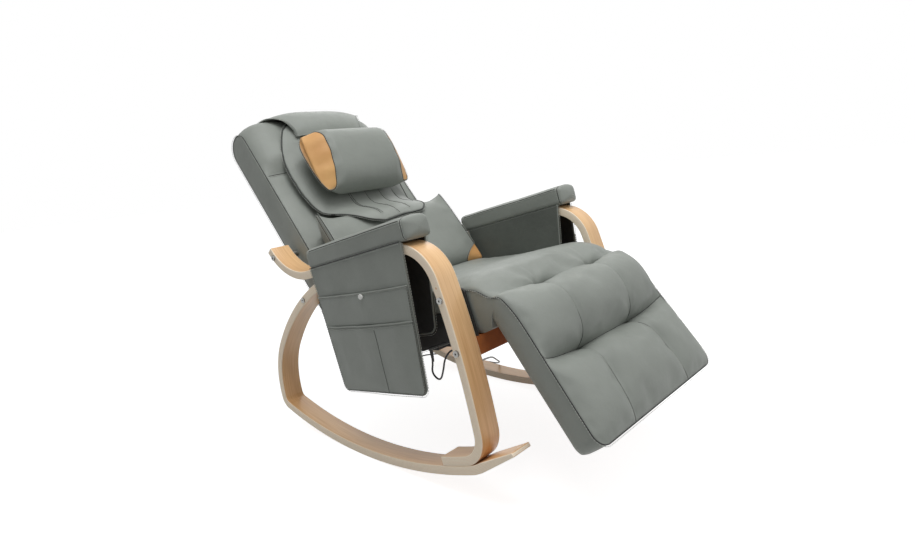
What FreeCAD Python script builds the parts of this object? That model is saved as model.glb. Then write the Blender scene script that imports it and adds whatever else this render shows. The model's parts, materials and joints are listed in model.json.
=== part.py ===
"""Rocking lounge chair with massage pillows: bentwood side frames, bolted back, folding leg rest.

The chair faces -Y, stands on Z = 0 and touches the floor on the line Y = 0, midway along X.
Side outlines are drawn as (ahead, up) pairs: ahead is the distance in front of the floor contact.
"""
import FreeCAD, Part
import math
import os

SIZES = [
    # bentwood side frames
    ("frame_width", 660.0), ("strip_width", 60.0), ("strip_thickness", 22.0),
    ("rocker_radius", 1257.5), ("rocker_rear_angle", 15.9), ("rocker_front_angle", 19.2),
    ("heel_radius", 40.0), ("heel_angle", 63.5),
    ("riser_low_radius", 237.0), ("riser_low_angle", 46.0), ("riser_high_radius", 620.0),
    ("lap_length", 120.0), ("flick_radius", 150.0), ("flick_angle", 16.3),
    ("tip_length", 107.0), ("tip_thickness", 9.5),
    ("foot_end_ahead", 325.0), ("foot_length", 82.0), ("foot_bend_radius", 75.0),
    ("leg_lean", 98.7), ("leg_length", 346.0), ("leg_bow", 10.8),
    ("front_bend_radius", 112.0), ("arm_slope", 12.9), ("arm_length", 381.0),
    ("curl_radius", 171.0), ("curl_angle", 62.2),
    # fasteners
    ("bolt_radius", 4.0), ("bolt_clearance", 0.2), ("bolt_head_radius", 7.5), ("bolt_head_height", 4.0),
    ("socket_width", 5.0), ("socket_depth", 2.5),
    ("rail_bolt_up_leg", 186.0), ("seat_bolt_up_leg", 304.0), ("plug_up_leg", 332.0),
    ("tip_bolt_angle", 9.0), ("riser_bolt_angle", 20.5), ("plug_radius", 2.5), ("plug_depth", 6.0),
    ("rail_bolt_reach", 40.0), ("sleeve_radius", 9.0),
    # seat, in seat coordinates that start at the knee hinge
    ("seat_slope", 8.0), ("knee_radius", 40.0), ("knee_gap", 0.6),
    ("rail_behind_knee", 56.0), ("rail_below_knee", 63.0), ("rail_height", 42.0), ("rail_thickness", 22.0),
    ("seat_side_room", 14.0), ("seat_under_knee", 60.0), ("seat_edge_radius", 18.0),
    ("board_thickness", 12.0), ("board_back_from_knee", 114.0), ("board_inset", 34.0),
    ("bar_height", 30.0), ("bar_thickness", 6.0),
    ("rest_gap", 2.0), ("seat_crown", 24.0), ("seat_side_fall", 27.0),
    # back, in back coordinates: along the slope and square to it, from the upper arm bolt
    ("back_recline", 39.0), ("back_side_room", 20.0), ("back_behind_bolt", 41.0), ("back_face_cover", 13.3),
    ("back_above_bolt", 417.0), ("back_below_bolt", 245.0), ("back_wall", 10.0), ("back_foam", 57.0),
    ("back_corner_radius", 34.0), ("rail_bar_width", 24.0), ("cover_thickness", 3.0),
    ("cross_bar_height", 30.0), ("cross_bar_thickness", 5.0), ("frame_clearance", 1.0),
    # pillows and flap
    ("lumbar_width", 470.0), ("lumbar_top_above_bolt", 26.0), ("lumbar_thickness", 120.0),
    ("lumbar_round", 42.0),
    ("flap_width", 370.0), ("flap_thickness", 60.0), ("flap_round", 40.0), ("flap_top_above_bolt", 345.0),
    ("flap_bottom_above_bolt", 36.0), ("strap_width", 350.0), ("strap_rise", 30.0),
    ("neck_width", 330.0), ("neck_length", 200.0), ("neck_thickness", 112.0), ("neck_round", 44.0),
    ("neck_above_bolt", 84.0), ("pillow_seat_gap", 0.3),
    # leg rest
    ("legrest_angle", 52.0), ("legrest_length", 340.0), ("legrest_side_room", 8.0),
    ("legrest_under_knee", 22.0), ("legrest_board_thickness", 8.0), ("legrest_board_inset", 22.0),
    ("legrest_round", 26.0), ("legrest_under_round", 18.0),
    ("tuft_row", 147.0), ("tuft_rise", 20.0), ("tuft_fall", 18.0),
    # knee hinges
    ("hinge_plate", 5.0), ("hinge_gap", 0.5), ("hinge_eye", 14.0),
    ("hinge_pin_radius", 5.0), ("pin_clearance", 0.05), ("hinge_arm_back", 180.0), ("hinge_arm_ahead", 150.0),
    ("slot_margin", 4.0),
    # arm pads and hanging side panels
    ("pad_width", 80.0), ("pad_height", 50.0), ("pad_nose_ahead", 88.0), ("pad_rear_behind", 336.0),
    ("pad_nose_radius", 21.0), ("panel_thickness", 4.0), ("panel_inset", 3.0),
    ("outer_panel_top_front", 42.0), ("outer_panel_top_rear", 328.0), ("outer_panel_drop", 338.0),
    ("outer_panel_low_front", -4.0), ("outer_panel_low_rear", 312.0),
    ("inner_panel_top_front", 40.0), ("inner_panel_top_rear", 322.0), ("inner_panel_drop", 222.0),
    ("inner_panel_low_front", -9.0), ("inner_panel_low_rear", 300.0), ("panel_corner_radius", 18.0),
    ("upper_pocket_depth", 9.0), ("lower_pocket_depth", 18.0), ("pocket_cloth", 3.0), ("pocket_hem", 9.0),
    ("upper_pocket_drop", 84.0), ("lower_pocket_drop", 164.0), ("pocket_lap", 2.0), ("pocket_side", 6.0),
    ("snap_radius", 6.5), ("snap_height", 3.0),
    # massage drives inside the pillows
    ("neck_head_radius", 33.0), ("lumbar_head_radius", 44.0), ("neck_ball_radius", 12.0),
    ("lumbar_ball_radius", 16.0), ("head_thickness", 7.0), ("head_gap", 2.0),
    ("head_spread", 10.0), ("drive_margin", 6.0), ("lumbar_drive_drop", 86.0), ("drive_fit", 0.3),
    ("drive_plate", 5.0), ("wheel_radius", 15.0), ("wheel_thickness", 8.0), ("worm_radius", 5.5),
    ("shaft_radius", 3.0), ("spindle_radius", 5.0), ("run_clearance", 0.05), ("mesh_gap", 0.4),
    ("motor_radius", 14.0), ("motor_length", 36.0), ("bearing_width", 8.0), ("worm_length", 22.0),
    # control box, lead and plug
    ("box_length", 70.0), ("box_width", 110.0), ("box_height", 48.0), ("box_share", 0.30667),
    ("box_from_middle", 95.0), ("lead_radius", 2.5), ("gland_radius", 6.0), ("gland_height", 7.0),
    ("gland_inset", 20.0), ("coil_radius", 28.0), ("coil_half_width", 6.5), ("coil_from_middle", 120.0),
    ("coil_behind", 400.0), ("plug_length", 34.0), ("plug_half_width", 14.0),
    ("plug_from_coil", 36.0),
    ("plug_pin_length", 19.0), ("plug_pin_radius", 2.0), ("plug_pin_spacing", 19.0),
]

DOCUMENT = FreeCAD.newDocument("rocking_chair")
SHEET = DOCUMENT.addObject("Spreadsheet::Sheet", "dim")
for row, (alias, amount) in enumerate(SIZES, start=1):
    SHEET.set("A%d" % row, alias)
    SHEET.set("B%d" % row, repr(amount))
    SHEET.setAlias("B%d" % row, alias)
DOCUMENT.recompute()

X_AXIS = FreeCAD.Vector(1, 0, 0)
NODES = {}


def size(alias):
    """Value of a driving dimension, read from the sheet."""
    return float(SHEET.get(alias))


def node(label, thing):
    """Register a finished sub-part under its own label."""
    thing.Label = label
    NODES[label] = thing
    return thing


def bind(thing, prop, formula):
    """Bind a property to a formula of sheet aliases."""
    thing.setExpression(prop, formula)


# plane geometry of the side outlines

def turned(vector, degrees):
    """Plane vector turned anticlockwise."""
    c = math.cos(math.radians(degrees))
    s = math.sin(math.radians(degrees))
    return (c * vector[0] - s * vector[1], s * vector[0] + c * vector[1])


def moved(point, direction, distance):
    """Point moved along a plane direction."""
    return (point[0] + direction[0] * distance, point[1] + direction[1] * distance)


def heading(degrees):
    """Unit vector of a heading, anticlockwise from straight ahead."""
    return turned((1.0, 0.0), degrees)


def run(start, degrees, pieces):
    """Edges of a bent run: ("line", length) and ("arc", radius, turn), a positive turn being to the left."""
    edges = []
    point = start
    for piece in pieces:
        if piece[0] == "line":
            after = moved(point, heading(degrees), piece[1])
            edges.append({"kind": "line", "from": point, "to": after, "at": degrees, "turn": 0.0})
        else:
            radius, turn = piece[1], piece[2]
            side = 1.0 if turn > 0 else -1.0
            centre = moved(point, heading(degrees + 90.0 * side), radius)
            spoke = (point[0] - centre[0], point[1] - centre[1])
            after = moved(centre, turned(spoke, turn), 1.0)
            edges.append({"kind": "arc", "from": point, "to": after, "at": degrees, "turn": turn,
                          "centre": centre, "radius": radius})
            degrees += turn
        point = after
    return edges


def along(edge, share, depth=0.0):
    """Point at a share of an edge, moved to its left by depth."""
    if edge["kind"] == "line":
        step = math.dist(edge["from"], edge["to"]) * share
        base = moved(edge["from"], heading(edge["at"]), step)
        return moved(base, heading(edge["at"] + 90.0), depth)
    spoke = (edge["from"][0] - edge["centre"][0], edge["from"][1] - edge["centre"][1])
    here = moved(edge["centre"], turned(spoke, edge["turn"] * share), 1.0)
    return moved(here, heading(edge["at"] + edge["turn"] * share + 90.0), depth)


def path_of(edges, depth=0.0, back=False):
    """Outline steps that follow edges, moved to their left by depth, in either direction."""
    steps = []
    for edge in (reversed(edges) if back else edges):
        first, last = (1.0, 0.0) if back else (0.0, 1.0)
        if not steps:
            steps.append(("start", along(edge, first, depth)))
        if edge["kind"] == "line":
            steps.append(("line", along(edge, last, depth)))
        else:
            steps.append(("arc", along(edge, 0.5, depth), along(edge, last, depth)))
    return steps


def rounded(corners):
    """Outline steps of a polygon whose corners are (point, radius) pairs."""
    steps = []
    count = len(corners)
    for index, (point, radius) in enumerate(corners):
        before = corners[index - 1][0]
        after = corners[(index + 1) % count][0]
        if radius <= 0.0:
            steps.append(("line" if steps else "start", point))
            continue
        one = ((before[0] - point[0]), (before[1] - point[1]))
        two = ((after[0] - point[0]), (after[1] - point[1]))
        one = (one[0] / math.hypot(*one), one[1] / math.hypot(*one))
        two = (two[0] / math.hypot(*two), two[1] / math.hypot(*two))
        half = 0.5 * math.acos(max(-1.0, min(1.0, one[0] * two[0] + one[1] * two[1])))
        reach = radius / math.tan(half)
        middle = (one[0] + two[0], one[1] + two[1])
        length = math.hypot(*middle)
        middle = (middle[0] / length, middle[1] / length)
        crown = moved(point, middle, radius / math.sin(half) - radius)
        steps.append(("line" if steps else "start", moved(point, one, reach)))
        steps.append(("arc", crown, moved(point, two, reach)))
    return steps


def polygon(points, radius=0.0):
    """Outline steps of a polygon with one radius at every corner."""
    return rounded([(point, radius) for point in points])


def on_plane(body, role):
    """Origin plane of a body."""
    for feature in body.Origin.OriginFeatures:
        if feature.Role == role:
            return feature
    raise ValueError(role)


def draw(sketch, steps):
    """Draw an outline in the side plane and join its ends."""
    def flat(point):
        return FreeCAD.Vector(-point[0], point[1], 0)
    here = steps[0][1]
    closing = list(steps[1:])
    if math.dist(closing[-1][-1], here) > 1e-6:
        closing.append(("line", here))
    edges = []
    for step in closing:
        if math.dist(here, step[-1]) < 1e-6:
            continue
        if step[0] == "line":
            edges.append(Part.LineSegment(flat(here), flat(step[1])))
        else:
            edges.append(Part.Arc(flat(here), flat(step[1]), flat(step[2])))
        here = step[-1]
    sketch.addGeometry(edges, False)


def slab(name, steps, x_from, x_to):
    """Side outline padded across the chair between two formulas of X."""
    body = DOCUMENT.addObject("PartDesign::Body", name)
    sketch = body.newObject("Sketcher::SketchObject", name + "_outline")
    sketch.AttachmentSupport = [(on_plane(body, "YZ_Plane"), "")]
    sketch.MapMode = "FlatFace"
    draw(sketch, steps)
    pad = body.newObject("PartDesign::Pad", name + "_pad")
    pad.Profile = sketch
    pad.Length = 1.0
    bind(pad, "Length", "(%s) - (%s)" % (x_to, x_from))
    bind(body, "Placement.Base.x", x_from)
    return body


def sided(name, steps, side, inner, outer):
    """Slab on one side of the chair, between two distances from the middle."""
    if side > 0:
        return slab(name, steps, inner, outer)
    return slab(name, steps, "-(%s)" % outer, "-(%s)" % inner)


def cut(name, base, tools):
    """Base with the tools taken away."""
    tool = tools[0]
    if len(tools) > 1:
        tool = DOCUMENT.addObject("Part::MultiFuse", name + "_tools")
        tool.Shapes = tools
    result = DOCUMENT.addObject("Part::Cut", name + "_cut")
    result.Base = base
    result.Tool = tool
    return result


def fuse(name, shapes):
    """Union of shapes."""
    result = DOCUMENT.addObject("Part::MultiFuse", name + "_union")
    result.Shapes = shapes
    return result


def trim(name, body, limit):
    """Part of a body that lies inside a limit."""
    result = DOCUMENT.addObject("Part::Common", name + "_trim")
    result.Base = body
    result.Tool = limit
    return result


def group(name, shapes):
    """Several solids kept as one sub-part."""
    result = DOCUMENT.addObject("Part::Compound", name + "_group")
    result.Links = shapes
    return result


def across(name, point, x_from, x_to, radius):
    """Cylinder along X between two formulas, at a point of the side plane."""
    rod = DOCUMENT.addObject("Part::Cylinder", name)
    bind(rod, "Radius", radius)
    bind(rod, "Height", "(%s) - (%s)" % (x_to, x_from))
    rod.Placement = FreeCAD.Placement(FreeCAD.Vector(0, -point[0], point[1]),
                                      FreeCAD.Rotation(FreeCAD.Vector(0, 1, 0), 90))
    bind(rod, "Placement.Base.x", x_from)
    return rod


def sided_rod(name, point, side, inner, outer, radius):
    """Cylinder along X on one side of the chair."""
    if side > 0:
        return across(name, point, inner, outer, radius)
    return across(name, point, "-(%s)" % outer, "-(%s)" % inner, radius)


SIDES = (("left", 1), ("right", -1))
OUTSIDE = "dim.frame_width / 2"
INSIDE = "(dim.frame_width / 2 - dim.strip_width)"
THICK = size("strip_thickness")


# bentwood outlines: the arm bow from its foot to the curl, the rocker from tip to lap

def arm_bow():
    """Outer edges of the bow: foot on the rocker, leg, front bend, arm and rear curl."""
    top = size("rocker_radius") - THICK
    start = math.degrees(math.asin(size("foot_end_ahead") / top))
    foot = math.degrees(size("foot_length") / top)
    toe = moved((0.0, size("rocker_radius")), heading(start - 90.0), top)
    upright = size("leg_lean")
    leg_radius = size("leg_length") / math.radians(size("leg_bow"))
    arm = 180.0 + size("arm_slope")
    return run(toe, start, [
        ("arc", top, foot),
        ("arc", size("foot_bend_radius"), upright - start - foot),
        ("arc", leg_radius, size("leg_bow")),
        ("arc", size("front_bend_radius"), arm - upright - size("leg_bow")),
        ("line", size("arm_length")),
        ("arc", size("curl_radius"), -size("curl_angle")),
    ])


def rocker_runs(bow):
    """Outer edges of the rocker from the floor contact: to the rear lap, and to the front tip."""
    radius = size("rocker_radius")
    rest = 180.0 - size("rocker_rear_angle") - size("heel_angle") - size("riser_low_angle")
    pieces = [
        ("arc", radius, -size("rocker_rear_angle")),
        ("arc", size("heel_radius"), -size("heel_angle")),
        ("arc", size("riser_low_radius"), -size("riser_low_angle")),
        ("line", 0.0),
        ("arc", size("riser_high_radius"), size("arm_slope") - rest),
        ("line", size("lap_length")),
    ]
    underside = along(bow[4], 0.0, THICK)
    square = heading(size("arm_slope") + 90.0)
    loose_end = run((0.0, 0.0), 180.0, pieces)[-1]["to"]
    short = (underside[0] - loose_end[0]) * square[0] + (underside[1] - loose_end[1]) * square[1]
    pieces[3] = ("line", short / math.sin(math.radians(rest - size("arm_slope"))))
    front = run((0.0, 0.0), 0.0, [
        ("arc", radius, size("rocker_front_angle")),
        ("arc", size("flick_radius"), size("flick_angle")),
        ("line", size("tip_length")),
    ])
    return run((0.0, 0.0), 180.0, pieces), front


BOW = arm_bow()
REAR, FRONT = rocker_runs(BOW)
LEG = BOW[2]
ARM = BOW[4]
CURL = BOW[5]
RAIL_BOLT = along(LEG, size("rail_bolt_up_leg") / size("leg_length"), THICK / 2)
SEAT_BOLT = along(LEG, size("seat_bolt_up_leg") / size("leg_length"), THICK / 2)
LEG_PLUG = along(LEG, size("plug_up_leg") / size("leg_length"), THICK / 2)
TIP_BOLT = along(CURL, 1.0 - size("tip_bolt_angle") / size("curl_angle"), THICK / 2)
RISER_BOLT = along(REAR[4], size("riser_bolt_angle") / -REAR[4]["turn"], -THICK / 2)

# local frames of the seat, the back, the leg rest and the arm

SEAT_ALONG = heading(size("seat_slope"))
SEAT_UP = heading(size("seat_slope") + 90.0)
RAIL_MID = (-size("rail_behind_knee") - size("rail_thickness") / 2,
            -size("rail_below_knee") - size("rail_height") / 2)
KNEE = moved(moved(RAIL_BOLT, SEAT_ALONG, -RAIL_MID[0]), SEAT_UP, -RAIL_MID[1])
BACK_ALONG = heading(90.0 + size("back_recline"))
BACK_OUT = heading(size("back_recline"))
LEGREST_ALONG = heading(-size("legrest_angle"))
LEGREST_OUT = heading(90.0 - size("legrest_angle"))
ARM_AHEAD = heading(size("arm_slope"))
ARM_UP = heading(size("arm_slope") + 90.0)
RISER_OUT = (RISER_BOLT[0] - TIP_BOLT[0]) * BACK_OUT[0] + (RISER_BOLT[1] - TIP_BOLT[1]) * BACK_OUT[1]
FRONT_FACE = max(0.0, RISER_OUT) + size("rail_bar_width") / 2 + size("back_face_cover")
PILLOW_FACE = FRONT_FACE + size("pillow_seat_gap")


def seat_at(ahead, up):
    """Side-plane point from seat coordinates about the knee hinge."""
    return moved(moved(KNEE, SEAT_ALONG, ahead), SEAT_UP, up)


def back_at(up, out):
    """Side-plane point from back coordinates about the upper arm bolt."""
    return moved(moved(TIP_BOLT, BACK_ALONG, up), BACK_OUT, out)


def legrest_at(down, out):
    """Side-plane point from leg rest coordinates about the knee hinge."""
    return moved(moved(KNEE, LEGREST_ALONG, down), LEGREST_OUT, out)


def arm_at(ahead, up):
    """Side-plane point from arm coordinates about the front end of the straight arm."""
    return moved(moved(ARM["from"], ARM_AHEAD, ahead), ARM_UP, up)


def in_seat(point):
    """Seat coordinates of a side-plane point."""
    gap = (point[0] - KNEE[0], point[1] - KNEE[1])
    return (gap[0] * SEAT_ALONG[0] + gap[1] * SEAT_ALONG[1], gap[0] * SEAT_UP[0] + gap[1] * SEAT_UP[1])


def seat_meets_back(up, out):
    """Point at a height over the seat's knee line and a distance out from the back's bolt line."""
    base = seat_at(0.0, up)
    gap = (base[0] - TIP_BOLT[0]) * BACK_OUT[0] + (base[1] - TIP_BOLT[1]) * BACK_OUT[1]
    slope = SEAT_ALONG[0] * BACK_OUT[0] + SEAT_ALONG[1] * BACK_OUT[1]
    return seat_at((out - gap) / slope, up)


def arch(name, top, way, out, half, fall, middle=0.0):
    """Long cylinder whose crest passes a side-plane point and falls by a given drop at its half width."""
    radius = (half ** 2 + fall ** 2) / (2 * fall)
    rod = DOCUMENT.addObject("Part::Cylinder", name)
    rod.Radius = radius
    rod.Height = 2 * radius
    foot = moved(moved(top, out, -radius), way, -radius)
    rod.Placement = FreeCAD.Placement(
        FreeCAD.Vector(middle, -foot[0], foot[1]),
        FreeCAD.Rotation(FreeCAD.Vector(0, 0, 1), FreeCAD.Vector(0, -way[0], way[1])))
    return rod


def box_outline(place, first, last, low, high, radius=0.0):
    """Rectangle in a local frame."""
    return polygon([place(first, low), place(last, low), place(last, high), place(first, high)], radius)


# side frames

def bow_outline():
    """Closed outline of the arm bow."""
    return path_of(BOW) + [("line", along(BOW[-1], 1.0, THICK))] + path_of(BOW, THICK, back=True)[1:]


def rocker_outline():
    """Closed outline of the rocker, thinned towards its front tip."""
    under = path_of(FRONT, back=True)
    rear = path_of(REAR)[1:]
    lap_end = [("line", along(REAR[-1], 1.0, -THICK))]
    inside = path_of(REAR, -THICK, back=True)[1:] + path_of(FRONT[:2], THICK)[1:]
    return under + rear + lap_end + inside + [("line", along(FRONT[2], 1.0, size("tip_thickness")))]


def side_frames():
    """Arm bows and rockers with their bolt holes."""
    hole = "dim.bolt_radius + dim.bolt_clearance"
    for name, side in SIDES:
        bow = sided(name + "_bow", bow_outline(), side, INSIDE, OUTSIDE)
        holes = [sided_rod("%s_bow_hole_%d" % (name, number), point, side, INSIDE, OUTSIDE, hole)
                 for number, point in enumerate((RAIL_BOLT, SEAT_BOLT, TIP_BOLT))]
        holes.append(sided_rod(name + "_plug_hole", LEG_PLUG, side, OUTSIDE + " - dim.plug_depth", OUTSIDE,
                               "dim.plug_radius"))
        node(name + "_arm_bow", cut(name + "_bow", bow, holes))
        rocker = sided(name + "_rail", rocker_outline(), side, INSIDE, OUTSIDE)
        hole_rod = sided_rod(name + "_riser_hole", RISER_BOLT, side, INSIDE, OUTSIDE, hole)
        node(name + "_rocker", cut(name + "_rail", rocker, [hole_rod]))
    plugs = [sided_rod(name + "_leg_plug", LEG_PLUG, side, OUTSIDE + " - dim.plug_depth", OUTSIDE,
                       "dim.plug_radius") for name, side in SIDES]
    node("leg_plugs", group("leg_plugs", plugs))


def front_rail():
    """Board between the legs, bored at both ends for the rail bolts."""
    near, far = -size("rail_behind_knee"), -size("rail_behind_knee") - size("rail_thickness")
    top, low = -size("rail_below_knee"), -size("rail_below_knee") - size("rail_height")
    board = slab("rail", box_outline(seat_at, far, near, low, top), "-" + INSIDE, INSIDE)
    bores = [sided_rod(name + "_rail_bore", RAIL_BOLT, side, INSIDE + " - dim.rail_bolt_reach", INSIDE,
                       "dim.bolt_radius + dim.bolt_clearance") for name, side in SIDES]
    node("front_rail", cut("rail", board, bores))


# fasteners

def bolt(name, point, side, inner):
    """Hex-socket bolt along X: head outside the strip, shank inwards."""
    shank = sided_rod(name + "_shank", point, side, inner, OUTSIDE, "dim.bolt_radius")
    head = sided_rod(name + "_head", point, side, OUTSIDE, OUTSIDE + " + dim.bolt_head_height",
                     "dim.bolt_head_radius")
    socket = DOCUMENT.addObject("Part::Prism", name + "_socket")
    socket.Polygon = 6
    bind(socket, "Circumradius", "dim.socket_width / 2 / cos(30 deg)")
    bind(socket, "Height", "dim.socket_depth")
    face = FreeCAD.Vector(side * (size("frame_width") / 2 + size("bolt_head_height")), -point[0], point[1])
    socket.Placement = FreeCAD.Placement(face, FreeCAD.Rotation(FreeCAD.Vector(0, 1, 0), -90 * side))
    return cut(name, fuse(name, [shank, head]), [socket])


RAIL_OUT = "(%s - dim.back_side_room - dim.back_wall - dim.frame_clearance)" % INSIDE
RAIL_IN = "(%s - dim.bar_thickness)" % RAIL_OUT
SEAT_HALF = "(%s - dim.seat_side_room)" % INSIDE
EAR_OUT = "(%s - dim.rest_gap)" % INSIDE
EAR_IN = "(%s - dim.hinge_plate)" % EAR_OUT


def fasteners():
    """Rail, seat and back bolts with the back's spacer sleeves."""
    rail_bolts = []
    seat_bolts = []
    back_bolts = []
    sleeves = []
    for name, side in SIDES:
        rail_bolts.append(bolt(name + "_rail_bolt", RAIL_BOLT, side, INSIDE + " - dim.rail_bolt_reach"))
        seat_bolts.append(bolt(name + "_seat_bolt", SEAT_BOLT, side, EAR_IN))
        for spot, point in (("tip", TIP_BOLT), ("riser", RISER_BOLT)):
            label = "%s_%s" % (name, spot)
            back_bolts.append(bolt(label + "_bolt", point, side, RAIL_IN))
            sleeve = sided_rod(label + "_sleeve", point, side, RAIL_OUT, INSIDE, "dim.sleeve_radius")
            bore = sided_rod(label + "_sleeve_bore", point, side, RAIL_OUT, INSIDE,
                             "dim.bolt_radius + dim.bolt_clearance")
            sleeves.append(cut(label + "_sleeve", sleeve, [bore]))
    node("rail_bolts", group("rail_bolts", rail_bolts))
    node("seat_bolts", group("seat_bolts", seat_bolts))
    node("back_bolts", group("back_bolts", back_bolts))
    node("back_sleeves", group("back_sleeves", sleeves))


# seat

BAR_OUT = "(%s - dim.board_inset + dim.bar_thickness)" % SEAT_HALF
BAR_IN = "(%s - dim.board_inset)" % SEAT_HALF
BOARD_TOP = -size("seat_under_knee")
BAR_TOP = BOARD_TOP - size("board_thickness")
BAR_LOW = BAR_TOP - size("bar_height")
SEAT_REAR_LOW = in_seat(seat_meets_back(BOARD_TOP, FRONT_FACE + size("rest_gap")))[0]
FRAME_REAR = SEAT_REAR_LOW + size("cross_bar_height")
RAIL_REAR = -size("rail_behind_knee") - size("rail_thickness")
ARM_OUT = BAR_IN
ARM_IN = "(%s - dim.hinge_plate)" % ARM_OUT
SWING_OUT = "(%s - dim.hinge_gap)" % ARM_IN
SWING_IN = "(%s - dim.hinge_plate)" % SWING_OUT
SLOT_OUT = "(%s + dim.bar_thickness + dim.slot_margin)" % ARM_OUT
SLOT_IN = "(%s - dim.slot_margin)" % SWING_IN
SEAT_BARS = (0.0, 0.5, 1.0)


def along_frame(share):
    """Place along the seat at a share of the way from the first cross bar to the last."""
    first = -size("hinge_arm_back") - size("cross_bar_height")
    return first + share * (FRAME_REAR - first)


def seat_cushion():
    """Crowned cushion whose front end is hollowed round the knee of the leg rest."""
    radius = size("knee_radius")
    socket = radius + size("knee_gap")
    lip = -math.sqrt(socket ** 2 - radius ** 2)
    lip_angle = math.degrees(math.atan2(radius, lip))
    middle = heading((lip_angle + 180.0) / 2)
    before_pillow = seat_meets_back(radius, FRONT_FACE + size("lumbar_thickness") + size("rest_gap"))
    corner = rounded([
        (seat_at(-socket, BOARD_TOP), size("seat_edge_radius") / 2),
        (seat_meets_back(BOARD_TOP, FRONT_FACE + size("rest_gap")), size("seat_edge_radius")),
        (seat_meets_back(radius, FRONT_FACE + size("rest_gap")), size("seat_edge_radius")),
        (before_pillow, 0.0),
        (seat_at(lip, radius), 0.0),
    ])
    crest = seat_at((in_seat(before_pillow)[0] + lip) / 2, radius + size("seat_crown"))
    steps = corner[:-1] + [("arc", crest, seat_at(lip, radius)),
                           ("arc", seat_at(socket * middle[0], socket * middle[1]), seat_at(-socket, 0.0))]
    half = size("frame_width") / 2 - size("strip_width") - size("seat_side_room")
    body = trim("seat_pad", slab("seat_pad", steps, "-" + SEAT_HALF, SEAT_HALF),
                arch("seat_arch", crest, SEAT_ALONG, SEAT_UP, half, size("seat_side_fall")))
    slots = [sided(name + "_seat_slot",
                   box_outline(seat_at, -size("board_back_from_knee"), 0.0, 2 * BAR_LOW,
                               size("hinge_eye") + size("rest_gap")),
                   side, SLOT_IN, SLOT_OUT) for name, side in SIDES]
    node("seat_cushion", cut("seat_pad", body, slots))


def seat_base():
    """Board, side bars and cross bars under the seat cushion."""
    node("seat_board", slab("seat_board", box_outline(seat_at, FRAME_REAR, -size("board_back_from_knee"),
                                                      BAR_TOP, BOARD_TOP), "-" + BAR_OUT, BAR_OUT))
    for name, side in SIDES:
        node(name + "_seat_bar", sided(name + "_seat_bar",
                                       box_outline(seat_at, FRAME_REAR, RAIL_REAR, BAR_LOW, BAR_TOP),
                                       side, BAR_IN, BAR_OUT))
    bars = []
    for number, share in enumerate(SEAT_BARS):
        at = along_frame(share)
        bars.append(slab("seat_cross_%d" % number,
                         box_outline(seat_at, at, at + size("cross_bar_thickness"), BAR_LOW, BAR_TOP),
                         "-" + BAR_IN, BAR_IN))
    node("seat_cross_bars", group("seat_cross_bars", bars))


def seat_ears():
    """Steel ears that stand on the front rail and take the seat bolts."""
    spot = in_seat(SEAT_BOLT)
    eye = size("hinge_eye")
    near, far = -size("rail_behind_knee"), RAIL_REAR
    foot = -size("rail_below_knee")
    ears = []
    for name, side in SIDES:
        outline = polygon([seat_at(far, foot), seat_at(near, foot), seat_at(spot[0] + eye, spot[1]),
                           seat_at(spot[0] - eye, spot[1])])
        plate = sided(name + "_ear", outline, side, EAR_IN, EAR_OUT)
        round_end = sided_rod(name + "_ear_end", SEAT_BOLT, side, EAR_IN, EAR_OUT, "dim.hinge_eye")
        hole = sided_rod(name + "_ear_hole", SEAT_BOLT, side, EAR_IN, EAR_OUT,
                         "dim.bolt_radius + dim.bolt_clearance")
        ears.append(cut(name + "_ear", fuse(name + "_ear", [plate, round_end]), [hole]))
    node("seat_ears", group("seat_ears", ears))


# knee hinges

def knee_hinges():
    """Hinge arms of the seat and of the leg rest on common pins."""
    eye = size("hinge_eye")
    half = eye * math.sqrt(0.5)
    over_rail = -size("rail_below_knee") + size("rest_gap")
    before_board = -size("board_back_from_knee") + size("rest_gap")
    arm = [seat_at(-size("hinge_arm_back"), BAR_LOW), seat_at(RAIL_REAR - 2 * size("bar_thickness"), BAR_LOW),
           seat_at(RAIL_REAR - size("bar_thickness"), over_rail),
           seat_at(-size("rail_behind_knee"), over_rail),
           seat_at(half, -half), seat_at(-half, half), seat_at(before_board, BOARD_TOP + eye),
           seat_at(before_board, BAR_TOP - size("rest_gap")),
           seat_at(-size("hinge_arm_back"), BAR_TOP - size("rest_gap"))]
    low = -size("legrest_under_knee")
    reach = size("hinge_arm_ahead")
    swing = [legrest_at(half, -half), legrest_at(size("knee_radius"), low), legrest_at(reach, low),
             legrest_at(reach, low + eye), legrest_at(-half, half)]
    hole = "dim.hinge_pin_radius + dim.pin_clearance"
    pins = []
    for name, side in SIDES:
        for label, steps, inner, outer in (("seat", polygon(arm), ARM_IN, ARM_OUT),
                                           ("legrest", polygon(swing), SWING_IN, SWING_OUT)):
            title = "%s_%s_hinge" % (name, label)
            plate = sided(title + "_plate", steps, side, inner, outer)
            round_end = sided_rod(title + "_eye", KNEE, side, inner, outer, "dim.hinge_eye")
            bore = sided_rod(title + "_bore", KNEE, side, inner, outer, hole)
            node(title + "_arm", cut(title, fuse(title, [plate, round_end]), [bore]))
        pins.append(sided_rod(name + "_knee_pin", KNEE, side, SWING_IN, ARM_OUT, "dim.hinge_pin_radius"))
    node("knee_pins", group("knee_pins", pins))


# leg rest

TUFTS = 3


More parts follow.
